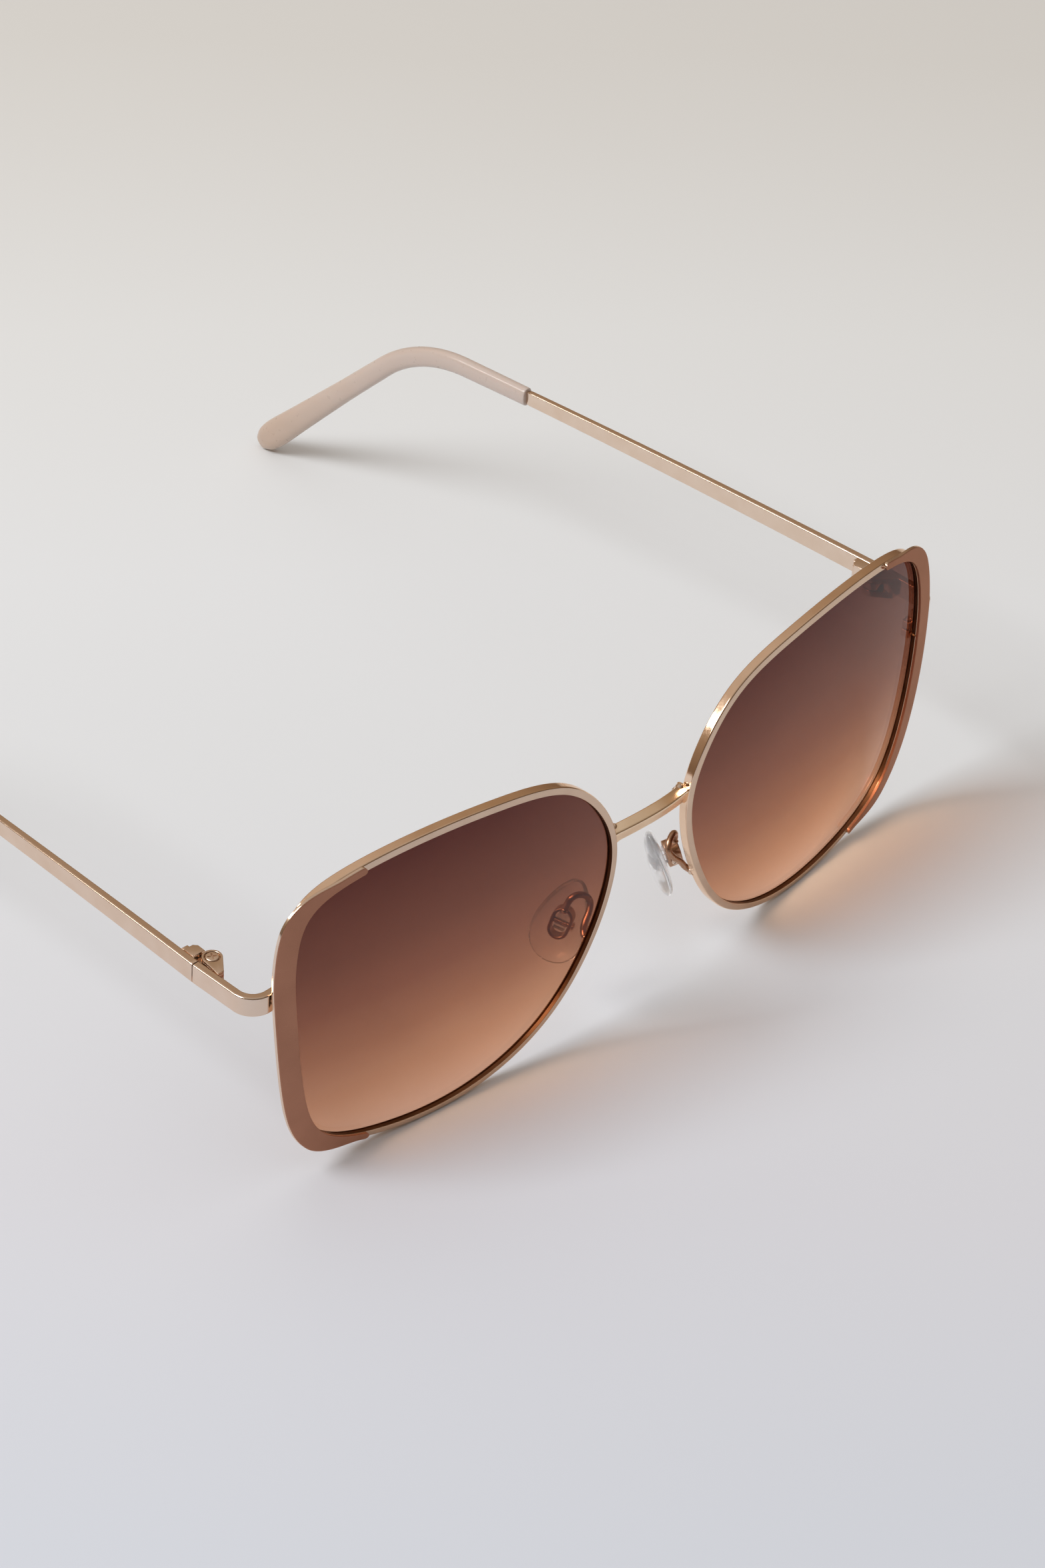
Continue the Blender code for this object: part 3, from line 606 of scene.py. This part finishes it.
def pvc_material():
    """Clear soft plastic with a faint haze."""
    n = Nodes("clear_pvc")
    n.set(Transmission_Weight=0.9, IOR=1.49)
    haze = n.noise(600, 3)
    n.link(n.ramp(haze, [(0.3, (0.90, 0.91, 0.93)), (0.7, (0.97, 0.97, 0.98))]),
           n.shader.inputs["Base Color"])
    n.link(n.between(haze, 0.08, 0.16), n.shader.inputs["Roughness"])
    n.bump(haze, 0.004 * MM)
    let_lamps_through(n, (0.90, 0.905, 0.92))
    return n.material


def acetate_material():
    """Pinkish taupe acetate, warmer towards the tip's end."""
    n = Nodes("pink_acetate")
    n.set(Subsurface_Weight=0.12, Subsurface_Radius=(0.0012, 0.0006, 0.0004),
          Coat_Weight=0.35, Coat_Roughness=0.12, IOR=1.48)
    split = n.add("ShaderNodeSeparateXYZ")
    n.link(n.place, split.inputs["Vector"])
    low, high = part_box("temple_tip_left")
    back = n.between(split.outputs["Y"], 0, 1, low.y, high.y)
    cloud = n.noise(220, 4, (1, 0.35, 1))
    mixed = n.math("ADD", n.math("MULTIPLY", back, 0.7), n.math("MULTIPLY", cloud, 0.2))
    n.link(n.ramp(mixed, [(0.1, (0.59, 0.495, 0.45)), (0.5, (0.585, 0.475, 0.415)),
                          (0.85, (0.53, 0.39, 0.30))]), n.shader.inputs["Base Color"])
    n.link(n.between(n.noise(900, 3), 0.27, 0.31), n.shader.inputs["Roughness"])
    n.bump(cloud, 0.0008 * MM)
    return n.material


GOLD = metal_material("rose_gold", (0.75, 0.585, 0.465), (0.80, 0.645, 0.53), (0.09, 0.2))
# A lighter copy of the rose gold, as painted light on the bridge's brighter top.
BRIDGE_GOLD_LIT = metal_material("bridge_gold_painted_light", (0.94, 0.71, 0.49), (0.98, 0.77, 0.56), (0.16, 0.26))
# A darkened copy of the rose gold, as painted shade and dimmed glints on the pad arms and boxes.
ARM_GOLD_SHADED = metal_material("pad_mount_gold_painted_shade", (0.44, 0.26, 0.17), (0.54, 0.33, 0.22), (0.24, 0.38))
WALL = metal_material("rim_wall_gold", (0.84, 0.61, 0.44), (0.89, 0.67, 0.50), (0.07, 0.15))
# The inner lip's dark brown is painted shade for the dark gap between lens and wire.
LIP_PAINTED_SHADE = metal_material("rim_lip_painted_shade", (0.10, 0.056, 0.032), (0.16, 0.092, 0.055), (0.35, 0.5))
SCREW = metal_material("screw_steel", (0.72, 0.56, 0.45), (0.84, 0.68, 0.56), (0.2, 0.36),
                       0.002 * MM, (1, 6, 1))
CHAMPAGNE = metal_material("champagne_face", (0.66, 0.49, 0.37), (0.72, 0.545, 0.415), (0.14, 0.22))
TAUPE = enamel_material("taupe_enamel", (0.39, 0.185, 0.118), (0.47, 0.228, 0.147), 0.5,
                        (0.34, 0.46))
LENS = lens_material()
PVC = pvc_material()
ACETATE = acetate_material()


# The front ----------------------------------------------------------------------------------

def make_eyewire():
    """The grooved band round the lens, with a satin front face, polished walls and its inner lip
    painted dark as shade.
    """
    front, back = WIRE_FRONT, WIRE_BACK
    corners = [
        (0, front, 0.12), (WIRE_WIDTH, front, 0.22), (WIRE_WIDTH, back, 0.2), (0, back, 0.12),
        (0, GROOVE_BOTTOM, 0), (GROOVE_DEPTH, GROOVE_BOTTOM - 0.22, 0),
        (GROOVE_DEPTH, GROOVE_TOP + 0.22, 0), (0, GROOVE_TOP, 0),
    ]
    section = rounded_profile(corners, 6)
    columns = []
    for (x0, y0), (x1, y1) in zip(section, section[1:] + section[:1]):
        face = max(y0, y1) < front + 0.06 and 0.05 < min(x0, x1) and max(x0, x1) < WIRE_WIDTH - 0.09
        # Strips on the inner edge and beside the groove take the painted shade material.
        beside_groove = max(x0, x1) < WIRE_WIDTH - 0.5 and GROOVE_TOP - 0.1 < y0 < 1.6
        inside = max(x0, x1) < 0.03 or beside_groove
        columns.append(1 if face else 2 if inside else 0)
    stations = np.linspace(WIRE_SPLIT / 2, PERIMETER - WIRE_SPLIT / 2, 420) + WIRE_SPLIT_AT
    rings = [[rim_point(arc, *point) for point in section] for arc in stations]
    return loft("eyewire", rings, FRONT, [WALL, CHAMPAGNE, LIP_PAINTED_SHADE], columns)


def make_lens():
    """The curved lens, bevelled into the eyewire's groove."""
    stations = np.linspace(0, PERIMETER, 240, endpoint=False)
    edge_reach, tongue_reach = -0.02, 0.3
    edge = [rim_point(arc, edge_reach, 0) for arc in stations]
    tongue = [rim_point(arc, tongue_reach, 0) for arc in stations]

    def ring(outline, scale, back):
        points = []
        for point in outline:
            x, z = (point.x - LENS_CENTRE) * scale, point.z * scale
            points.append(Vector((LENS_CENTRE + x, front_depth(x, z) + back, z)))
        return points

    front, back = 0.75, 1.6
    tongue_front, tongue_back = 1.1, 1.25
    scales = [0.004] + [i / 24 for i in range(1, 24)] + [0.995, 1.0]
    rings = [ring(edge, scale, front) for scale in scales]
    rings += [ring(tongue, 1.0, tongue_front), ring(tongue, 1.0, tongue_back)]
    rings += [ring(edge, scale, back) for scale in reversed(scales)]
    return loft("lens", rings, FRONT, [LENS])


def plate_width(arc):
    """Width of the wing plate at a place along the rim."""
    def blend(start, full):
        t = min(max((arc - start) / (full - start), 0), 1)
        return t * t * (3 - 2 * t)
    growth = min(blend(*PLATE_TOP_FULL), blend(*PLATE_BOTTOM_FULL))
    return WIRE_WIDTH + (PLATE_WIDTH - WIRE_WIDTH) * growth


def make_wing_plate():
    """The plate in front of the eyewire: satin enamel, polished along its outer edge."""
    end_radius = WIRE_WIDTH / 2
    turns = [end_radius * (1 - math.cos(a)) for a in np.radians(np.linspace(12, 90, 12))]
    middle = np.linspace(PLATE_BOTTOM_END + end_radius, PLATE_TOP_END - end_radius, 260)[1:-1]
    stations = [PLATE_BOTTOM_END + t for t in turns] + list(middle)
    stations += [PLATE_TOP_END - t for t in reversed(turns)]
    back = WIRE_FRONT + 0.02
    front = back - PLATE_THICKNESS
    rings = []
    for arc in stations:
        width = plate_width(arc)
        end = min(arc - PLATE_BOTTOM_END, PLATE_TOP_END - arc)
        squeeze = math.sqrt(max(1 - max(1 - end / end_radius, 0)**2, 0.02))
        easing = 0.2 * squeeze
        corners = [(0, front, easing * 0.6), (width, front, easing), (width, back, easing * 0.4),
                   (0, back, easing * 0.4)]
        section = rounded_profile(corners, 5, 0.03)
        rings.append([rim_point(arc, width / 2 + (x - width / 2) * squeeze, y)
                      for x, y in section])
    # Enamel covers the front face with its two roundings; the inner edge takes it too, as painted
    # shade for the dark band there. The rest is gold.
    enamel_strips, count = 12, len(section)
    columns = [1 if strip < enamel_strips or strip == count - 1 else 0 for strip in range(count)]
    return loft("wing_plate", rings, FRONT, [GOLD, TAUPE], columns)


def bead(name, centre, radii):
    """A small drop of solder, slightly uneven."""
    shape = bmesh.new()
    bmesh.ops.create_icosphere(shape, subdivisions=4, radius=1)
    for vertex in shape.verts:
        x, y, z = vertex.co
        swell = 1 + 0.06 * math.sin(3.1 * x + 1.7 * y) + 0.05 * math.cos(4.3 * z + 2.2 * x)
        vertex.co = [centre[i] + vertex.co[i] * radii[i] * swell for i in range(3)]
    mesh = bpy.data.meshes.new(name)
    shape.to_mesh(mesh)
    shape.free()
    finish_mesh(mesh, FRONT)
    return new_object(name, mesh, [GOLD])


def make_bridge():
    """The bar between the eyewires, arched up and forward, filleted at its ends."""
    x, y, z = BRIDGE_END
    points, scales = [], []
    reach, flare_start = 1.075, 0.9
    for t in np.linspace(-reach, reach, 81):
        arch = 1 - t * t
        points.append(Vector((x * t, y - BRIDGE_REACH * arch, z + BRIDGE_RISE * arch)))
        flare = max(abs(t) - flare_start, 0) / (reach - flare_start)
        scales.append((1 + 0.28 * flare**2, 1 + 0.3 * flare**2))
    section = rounded_box_profile(BRIDGE_DEPTH, BRIDGE_HEIGHT, 0.34, 6)
    bar = sweep("bridge_bar", points, section, FRONT, [BRIDGE_GOLD_LIT], up=(0, -0.24, 0.97),
                scales=scales, end_round=0)
    drops = []
    for side in (-1, 1):
        drops.append(bead("bridge_bead_top", (side * 7.05, 1.25, 9.35), (0.62, 0.6, 0.5)))
        drops.append(bead("bridge_bead_back", (side * 7.0, 2.0, 8.2), (0.5, 0.45, 0.75)))
    return join("bridge_detail", [bar] + drops)


def make_end_piece():
    """The bar that leaves the eyewire and bends back to the hinge seam."""
    to_front = FRONT.inverted() @ HINGE
    seam = to_front @ Vector((BAR_OFFSET, SEAM - SEAM_GAP / 2, 0))
    corner = (*END_PIECE_BEND, HINGE_AXIS[2])
    root = (END_PIECE_ROOT, END_PIECE_BEND[1], HINGE_AXIS[2])
    path = respace(rounded_path(root, corner, seam, END_PIECE_RADIUS), 0.12)
    section = rounded_box_profile(BAR_THICKNESS, BAR_HEIGHT, BAR_ROUNDING, 6)
    bar = sweep("end_piece", path, section, FRONT, [GOLD], end_round=0.05)
    drops = [bead("end_piece_bead", (68.15, 7.1, HINGE_AXIS[2] + side * 1.62), (0.7, 0.5, 0.25))
             for side in (1, -1)]
    return join("end_piece", [bar] + drops)


def make_closing_blocks():
    """The drilled blocks on the ends of the split eyewire."""
    x, y, z = BLOCK_CENTRE
    width, depth, height = BLOCK_SIZE
    outline = rounded_box_profile(width, depth, 0.2, 6)
    place = FRONT @ Matrix.Translation((x, y, z))
    made = {}
    for name, low in (("upper", WIRE_SPLIT / 2), ("lower", -WIRE_SPLIT / 2 - height)):
        made["closing_block_" + name] = flat_part(
            "closing_block_" + name, [outline, circle(CLOSING_HOLE_RADIUS)], low, low + height,
            place, [WALL], 0.12)
    return made


def cutter_box(name, size, matrix):
    """A plain box centred on its matrix, for cutting slots."""
    shape = bmesh.new()
    bmesh.ops.create_cube(shape, size=1)
    for vertex in shape.verts:
        vertex.co = [c * s for c, s in zip(vertex.co, size)]
    mesh = bpy.data.meshes.new(name)
    shape.to_mesh(mesh)
    shape.free()
    finish_mesh(mesh, matrix)
    return new_object(name, mesh, [SCREW])


def screw(name, head_radius, head_height, shank_radius, top, bottom, recess, slots, matrix):
    """A screw turned about Z, domed, with one slot or a cross of two in its head."""
    rounding = 0.18
    profile = [(0.01, top)]
    for angle in np.radians(np.linspace(10, 90, 9)):
        profile.append((head_radius - rounding + rounding * math.sin(angle),
                        top - rounding + rounding * math.cos(angle)))
    profile += [
        (head_radius, top - head_height), (shank_radius, top - head_height - 0.02),
        (shank_radius, bottom + 0.12), (shank_radius - 0.12, bottom), (0.01, bottom),
    ]
    obj = turned(name, profile, matrix, [SCREW])
    length, width = head_radius * 1.35, head_radius * 0.27
    cutters = []
    for turn in (0, math.pi / 2)[:slots]:
        spin = matrix @ Matrix.Rotation(turn + 0.5, 4, "Z") @ Matrix.Translation((0, 0, top))
        cutters.append(cutter_box(name + "_slot", (length, width, 2 * recess), spin))
    return cut(obj, cutters)


def make_closing_screw():
    """The small screw that closes the split eyewire from above."""
    reach = BLOCK_SIZE[2] + WIRE_SPLIT / 2
    place = FRONT @ Matrix.Translation(BLOCK_CENTRE)
    return screw("closing_screw", head_radius=0.62, head_height=0.35,
                 shank_radius=CLOSING_HOLE_RADIUS - 0.1, top=reach + 0.44, bottom=-reach,
                 recess=0.2, slots=1, matrix=place)


# Hinge --------------------------------------------------------------------------------------

def leaf_outline(length, direction):
    """Plan of a hinge leaf: the knuckle's circle drawn out to a flat foot."""
    foot = math.hypot(LEAF_INNER, length)
    last = math.radians(360) - math.atan2(length, LEAF_INNER) - math.acos(KNUCKLE_RADIUS / foot)
    points = [(KNUCKLE_RADIUS * math.cos(angle), KNUCKLE_RADIUS * math.sin(angle))
              for angle in np.linspace(0, last, 48)]
    points += [(LEAF_INNER, -length), (LEAF_OUTER, -length)]
    return [(x, -direction * y) for x, y in points]


def make_hinge_front_leaf():
    """Two knuckle plates on one foot, open for the temple's tongue."""
    inner = TONGUE_HEIGHT / 2 + KNUCKLE_GAP
    outer = inner + KNUCKLE_HEIGHT
    outline = leaf_outline(LEAF_LENGTH, -1)
    recess_radius, rim_depth, top_drop = 1.14, 0.42, 0.4
    rim = [outline, circle(recess_radius)]
    drilled = [outline, circle(HINGE_HOLE_RADIUS)]
    pieces = [
        flat_part("knuckle_rim", rim, outer - rim_depth, outer, HINGE, [GOLD], 0.1),
        flat_part("knuckle_top", drilled, inner, outer - top_drop, HINGE, [GOLD], 0.05),
        flat_part("knuckle_bottom", drilled, -outer, -inner, HINGE, [GOLD], 0.1),
    ]
    foot = [(LEAF_INNER - 0.35, -LEAF_LENGTH + 0.45), (LEAF_INNER, -LEAF_LENGTH),
            (LEAF_OUTER, -LEAF_LENGTH), (LEAF_OUTER, -1.2), (1.3, -1.35), (0.2, -2.0)]
    pieces.append(flat_part("knuckle_foot", [foot], -inner - 0.1, inner + 0.1, HINGE, [GOLD], 0.05))
    return join("hinge_front_leaf", pieces)


def make_hinge_temple_leaf():
    """The tongue between the knuckles, with its plate and stop block on the temple."""
    outline = leaf_outline(TEMPLE_LEAF_LENGTH, 1)
    half = TONGUE_HEIGHT / 2
    height = BAR_HEIGHT / 2 - 0.15
    plate = rounded_profile([(LEAF_INNER, TEMPLE_LEAF_START, 0.1),
                             (LEAF_OUTER, TEMPLE_LEAF_START, 0.05),
                             (LEAF_OUTER, TEMPLE_LEAF_LENGTH, 0.05),
                             (LEAF_INNER, TEMPLE_LEAF_LENGTH, 0.1)], 3)
    chamfer = 0.55
    block = [(LEAF_BLOCK_REACH, LEAF_BLOCK[0]), (LEAF_OUTER, LEAF_BLOCK[0]),
             (LEAF_OUTER, LEAF_BLOCK[1]), (LEAF_BLOCK_REACH + chamfer, LEAF_BLOCK[1]),
             (LEAF_BLOCK_REACH, LEAF_BLOCK[1] - chamfer)]
    return join("hinge_temple_leaf", [
        flat_part("tongue", [outline, circle(HINGE_HOLE_RADIUS)], -half, half, HINGE, [GOLD], 0.08),
        flat_part("leaf_plate", [plate], -height, height, HINGE, [GOLD], 0.06),
        flat_part("stop_block", [block], -height - 0.1, height + 0.1, HINGE, [GOLD], 0.08),
    ])


def make_hinge_screw():
    """The hinge screw, flush in the upper knuckle's recess."""
    reach = TONGUE_HEIGHT / 2 + KNUCKLE_GAP + KNUCKLE_HEIGHT
    return screw("hinge_screw", head_radius=1.0, head_height=0.4,
                 shank_radius=HINGE_HOLE_RADIUS - 0.1, top=reach + 0.04, bottom=-reach,
                 recess=0.26, slots=2, matrix=HINGE)


# Temple -------------------------------------------------------------------------------------

def temple_path():
    """Centre line of the temple from the hinge seam to the end of the tip."""
    start = Vector((BAR_OFFSET, SEAM + SEAM_GAP / 2, 0))
    corner = Vector((BAR_OFFSET, BEND_CORNER, 0))
    down = Vector((0, math.cos(BEND_ANGLE), -math.sin(BEND_ANGLE)))
    path = respace(rounded_path(start, corner, corner + down * TIP_LENGTH, BEND_RADIUS), 0.5)
    return [p - Vector((0, 0, TEMPLE_DROP * (p.y / BEND_CORNER)**2)) for p in path]


TEMPLE_PATH = temple_path()
TEMPLE_LENGTHS = path_table(TEMPLE_PATH)


def make_temple():
    """The tapering temple bar, with its end inside the tip."""
    end = SLEEVE_START + 1.0
    distances = np.linspace(0, end, 120)
    points = [along_path(TEMPLE_PATH, TEMPLE_LENGTHS, d)[0] for d in distances]
    scales = []
    for distance in distances:
        scale = 1 + (BAR_TAPER - 1) * distance / SLEEVE_START
        tuck = min(max((distance - SLEEVE_START + 0.3) / 0.3, 0), 1)
        scales.append((scale * (1 - 0.3 * tuck), scale * (1 - 0.3 * tuck)))
    section = rounded_box_profile(BAR_THICKNESS, BAR_HEIGHT, BAR_ROUNDING, 6)
    return sweep("temple", points, section, HINGE, [GOLD], scales=scales, end_round=0.05)


def smooth_table(fraction, column):
    """A tip section's half size, eased between its stations."""
    stations = [row[0] for row in SLEEVE_SECTIONS]
    values = [row[column] for row in SLEEVE_SECTIONS]
    window = np.linspace(-0.02, 0.02, 9) * min(1, (1 - fraction) / 0.02)
    places = np.clip(fraction + window, 0, 1)
    return float(np.mean(np.interp(places, stations, values)))


def make_tip():
    """The moulded tip over the temple's core, rounded at both ends."""
    start, total = SLEEVE_START, TEMPLE_LENGTHS[-1]
    mouth = [(0.0, 0.80), (0.0, 0.9), (0.05, 0.95), (0.15, 0.985), (0.3, 1.0)]
    stations = [(start + d, s) for d, s in mouth]
    rounding = 2.5
    stations += [(d, 1.0) for d in np.linspace(start + 0.8, total - rounding, 110)]
    stations += [(total - rounding * (1 - math.sin(a)), 1.0)
                 for a in np.radians(np.linspace(4, 90, 22))]
    rings = []
    for distance, shrink in stations:
        fraction = (distance - start) / (total - start)
        point, direction = along_path(TEMPLE_PATH, TEMPLE_LENGTHS, distance)
        lift = Vector((1, 0, 0)).cross(direction)
        thick = smooth_table(fraction, 1) * shrink
        tall = smooth_table(fraction, 2) * shrink
        ring = []
        for angle in np.linspace(0, 2 * math.pi, 40, endpoint=False):
            x = thick * math.copysign(abs(math.cos(angle))**0.8, math.cos(angle))
            z = tall * math.copysign(abs(math.sin(angle))**0.8, math.sin(angle))
            ring.append(point + Vector((x, 0, 0)) + lift * z)
        rings.append(ring)
    return loft("temple_tip", rings, HINGE, [ACETATE], sharp=50)


# Nose pads ----------------------------------------------------------------------------------

def make_pad_arm():
    """The wire that loops from the eyewire to the pad box, with its solder."""
    path = open_spline(ARM_ROUTE, 12)
    section = circle(ARM_RADIUS, 20)
    up = (0.31, 0.85, 0.42)
    wire = sweep("pad_arm", path, section, FRONT, [ARM_GOLD_SHADED], up=up, end_round=0.1)
    foot = bead("pad_arm_bead", (11.75, 1.3, -8.75), (0.62, 0.55, 0.75))
    crown = bead("pad_box_bead", (12.05, 5.35, -5.7), (0.6, 0.6, 0.5))
    return join("pad_arm", [wire, foot, crown])


def make_pad_box():
    """The oval ring that the pad's stem sits in, with eased edges."""
    depth, width, height = (size / 2 for size in BOX_SIZE)
    ring = []
    for centre_angle in (0, math.pi):
        for angle in np.linspace(-math.pi / 2, math.pi / 2, 20):
            ring.append((centre_angle, angle))
    section = rounded_box_profile(BOX_WALL, 2 * depth, 0.14, 4)
    middle = width - BOX_WALL / 2
    rings = []
    for side, angle in ring:
        along = math.cos(side)
        out = Vector((0, math.sin(angle) * along, math.cos(angle) * along))
        base = Vector((0, 0, (height - width) * along)) + out * middle
        rings.append([base + out * x + Vector((y, 0, 0)) for x, y in section])
    return loft("pad_box", rings, PAD, [ARM_GOLD_SHADED], loop=True)


def make_pad_screw():
    """The pad's screw, across its box."""
    width = BOX_SIZE[1] / 2
    return screw("pad_screw", head_radius=0.7, head_height=0.35,
                 shank_radius=PAD_HOLE_RADIUS - 0.1, top=width + 0.45, bottom=-width - 0.1,
                 recess=0.22, slots=1, matrix=PAD @ ACROSS)


def make_nose_pad():
    """The clear drop-shaped pad with its moulded stem."""
    shape = bmesh.new()
    bmesh.ops.create_uvsphere(shape, u_segments=64, v_segments=40, radius=1)
    for vertex in shape.verts:
        x, y, z = vertex.co
        flat = math.copysign(abs(x)**0.9, x)
        drop = 1 - 0.28 * z
        vertex.co = (PAD_OFFSET + flat * PAD_THICKNESS / 2 + 0.5 * y * y,
                     y * drop * PAD_WIDTH / 2, z * PAD_LENGTH / 2 - 0.8)
    mesh = bpy.data.meshes.new("nose_pad")
    shape.to_mesh(mesh)
    shape.free()
    finish_mesh(mesh, PAD, 60)
    pad = new_object("nose_pad", mesh, [PVC])
    root, side = PAD_OFFSET + 0.9, STEM_WIDTH / 2
    outline = rounded_profile([(root, -side, 0.2), (STEM_END, -side, 0.15), (STEM_END, side, 0.15),
                               (root, side, 0.2)], 4)
    stem = flat_part("pad_stem", [outline], -STEM_HEIGHT / 2, STEM_HEIGHT / 2, PAD, [PVC], 0.25)
    bore = turned("pad_bore", [(0.01, 2), (PAD_HOLE_RADIUS, 2), (PAD_HOLE_RADIUS, -2), (0.01, -2)],
                  PAD @ ACROSS, [PVC])
    return join("nose_pad", [pad, cut(stem, [bore])])


# Assembly -----------------------------------------------------------------------------------

def mirrored(obj, name):
    """The wearer's right-hand copy of a piece."""
    mesh = obj.data.copy()
    mesh.name = name
    mesh.transform(Matrix.Scale(-1, 4, (1, 0, 0)))
    mesh.flip_normals()
    copy = bpy.data.objects.new(name, mesh)
    bpy.context.scene.collection.objects.link(copy)
    return copy


def wear(obj, node):
    """Let a piece stand for a CAD node and move with its body."""
    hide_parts(node)
    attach(obj, BODY_OF[node])


def both_sides(obj, node):
    """Place a left-hand piece and its mirror image."""
    obj.name = node + "_left_detail"
    right = mirrored(obj, node + "_right_detail")
    wear(obj, node + "_left")
    wear(right, node + "_right")


wear(make_bridge(), "bridge")
both_sides(make_eyewire(), "eyewire")
both_sides(make_lens(), "lens")
both_sides(make_wing_plate(), "wing_plate")
both_sides(make_end_piece(), "end_piece")
for part, block in make_closing_blocks().items():
    both_sides(block, part)
both_sides(make_closing_screw(), "closing_screw")
both_sides(make_hinge_front_leaf(), "hinge_front_leaf")
both_sides(make_hinge_temple_leaf(), "hinge_temple_leaf")
both_sides(make_hinge_screw(), "hinge_screw")
both_sides(make_temple(), "temple")
both_sides(make_tip(), "temple_tip")
both_sides(make_pad_arm(), "pad_arm")
both_sides(make_pad_box(), "pad_box")
both_sides(make_pad_screw(), "pad_screw")
both_sides(make_nose_pad(), "nose_pad")


# Floor, light and camera --------------------------------------------------------------------

# Painted light falloff on the floor: colours along X + Y, in metres.
FLOOR_LIGHT_TINTS = [
    (-0.24, (0.665, 0.71, 0.80)), (-0.14, (0.71, 0.73, 0.80)), (0.0, (0.77, 0.80, 0.843)),
    (0.08, (0.80, 0.83, 0.872)), (0.2, (0.805, 0.828, 0.849)), (0.36, (0.747, 0.748, 0.739)),
]


def make_floor():
    """A pale floor under the glasses, its colour graded along X + Y as painted light: bluer in
    front, brightest in the middle, warmer and darker at the back.
    """
    mesh = bpy.data.meshes.new("floor")
    half = 2.5
    mesh.from_pydata([(-half, -half, 0), (half, -half, 0), (half, half, 0), (-half, half, 0)], [],
                     [(0, 1, 2, 3)])
    n = Nodes("pale_floor")
    split = n.add("ShaderNodeSeparateXYZ")
    n.link(n.place, split.inputs["Vector"])
    along = n.math("ADD", split.outputs["X"], split.outputs["Y"])
    drift = n.math("MULTIPLY", n.noise(6, 2), 0.06)
    low, high = FLOOR_LIGHT_TINTS[0][0], FLOOR_LIGHT_TINTS[-1][0]
    stops = [((u - low) / (high - low), colour) for u, colour in FLOOR_LIGHT_TINTS]
    place = n.between(n.math("ADD", along, drift), 0, 1, low + 0.03, high + 0.03)
    n.link(n.ramp(place, stops), n.shader.inputs["Base Color"])
    n.set(Roughness=0.55, Specular_IOR_Level=0.2)
    floor = new_object("floor", mesh, [n.material])
    floor.location.z = -0.00005


def aim(obj, target):
    """Turn a lamp to face a point."""
    obj.rotation_euler = (Vector(target) - obj.location).to_track_quat("-Z", "Y").to_euler()


def area_light(name, azimuth, elevation, distance, size, watts, colour, glossy=True,
               diffuse=True):
    """A soft lamp seen from the glasses at an azimuth from +X and an elevation."""
    lamp = bpy.data.lights.new(name, "AREA")
    lamp.shape = "RECTANGLE"
    lamp.size, lamp.size_y = size
    lamp.energy = watts
    lamp.color = colour
    obj = bpy.data.objects.new(name, lamp)
    bpy.context.scene.collection.objects.link(obj)
    a, e = math.radians(azimuth), math.radians(elevation)
    obj.location = Vector((math.cos(e) * math.cos(a), math.cos(e) * math.sin(a), math.sin(e)))
    obj.location *= distance
    aim(obj, (0, 0, 0.02))
    obj.visible_glossy = glossy
    obj.visible_diffuse = diffuse
    return obj


def make_world():
    """A soft room: dim warm walls, darker at the horizon and in front."""
    world = bpy.data.worlds.new("room")
    bpy.context.scene.world = world
    world.use_nodes = True
    tree = world.node_tree
    background = tree.nodes["Background"]
    place = tree.nodes.new("ShaderNodeTexCoord")
    split = tree.nodes.new("ShaderNodeSeparateXYZ")
    ramp = tree.nodes.new("ShaderNodeValToRGB")
    tree.links.new(place.outputs["Generated"], split.inputs["Vector"])
    tree.links.new(split.outputs["Z"], ramp.inputs["Fac"])
    stops = [(0.0, (0.19, 0.13, 0.085)), (0.18, (0.25, 0.175, 0.12)), (0.5, (0.37, 0.27, 0.18)),
             (0.66, (0.42, 0.32, 0.23)), (0.8, (0.58, 0.49, 0.41)), (1.0, (0.6, 0.55, 0.50))]
    fill_ramp(ramp, stops)
    facing = tree.nodes.new("ShaderNodeMapRange")
    for key, value in (("From Min", -0.7), ("From Max", 0.6), ("To Min", 0.5), ("To Max", 1.0)):
        facing.inputs[key].default_value = value
    tree.links.new(split.outputs["Y"], facing.inputs["Value"])
    tree.links.new(ramp.outputs["Color"], background.inputs["Color"])
    tree.links.new(facing.outputs["Result"], background.inputs["Strength"])


make_floor()
make_world()
area_light("window", azimuth=161, elevation=49, distance=1.8, size=(0.8, 0.8), watts=21.7,
           colour=(0.985, 1.0, 1.0))
area_light("far_window", azimuth=139, elevation=36, distance=1.8, size=(0.36, 0.26), watts=2.6,
           colour=(1.0, 0.97, 0.93), diffuse=False)
area_light("ceiling", azimuth=-60, elevation=80, distance=2.2, size=(2.8, 2.8), watts=11.4,
           colour=(0.87, 0.95, 1.0), glossy=False)

camera_data = bpy.data.cameras.new("camera")
camera_data.sensor_width = 36
camera_data.lens = 104.6449
camera_data.clip_start = 0.01
camera = bpy.data.objects.new("camera", camera_data)
camera.location = (-0.4034468, -0.4268249, 0.4269103)
camera.rotation_euler = [math.radians(a) for a in (54.03136, -1.56336, -45.86966)]
bpy.context.scene.collection.objects.link(camera)
bpy.context.scene.camera = camera
bpy.context.scene.view_settings.view_transform = "Standard"
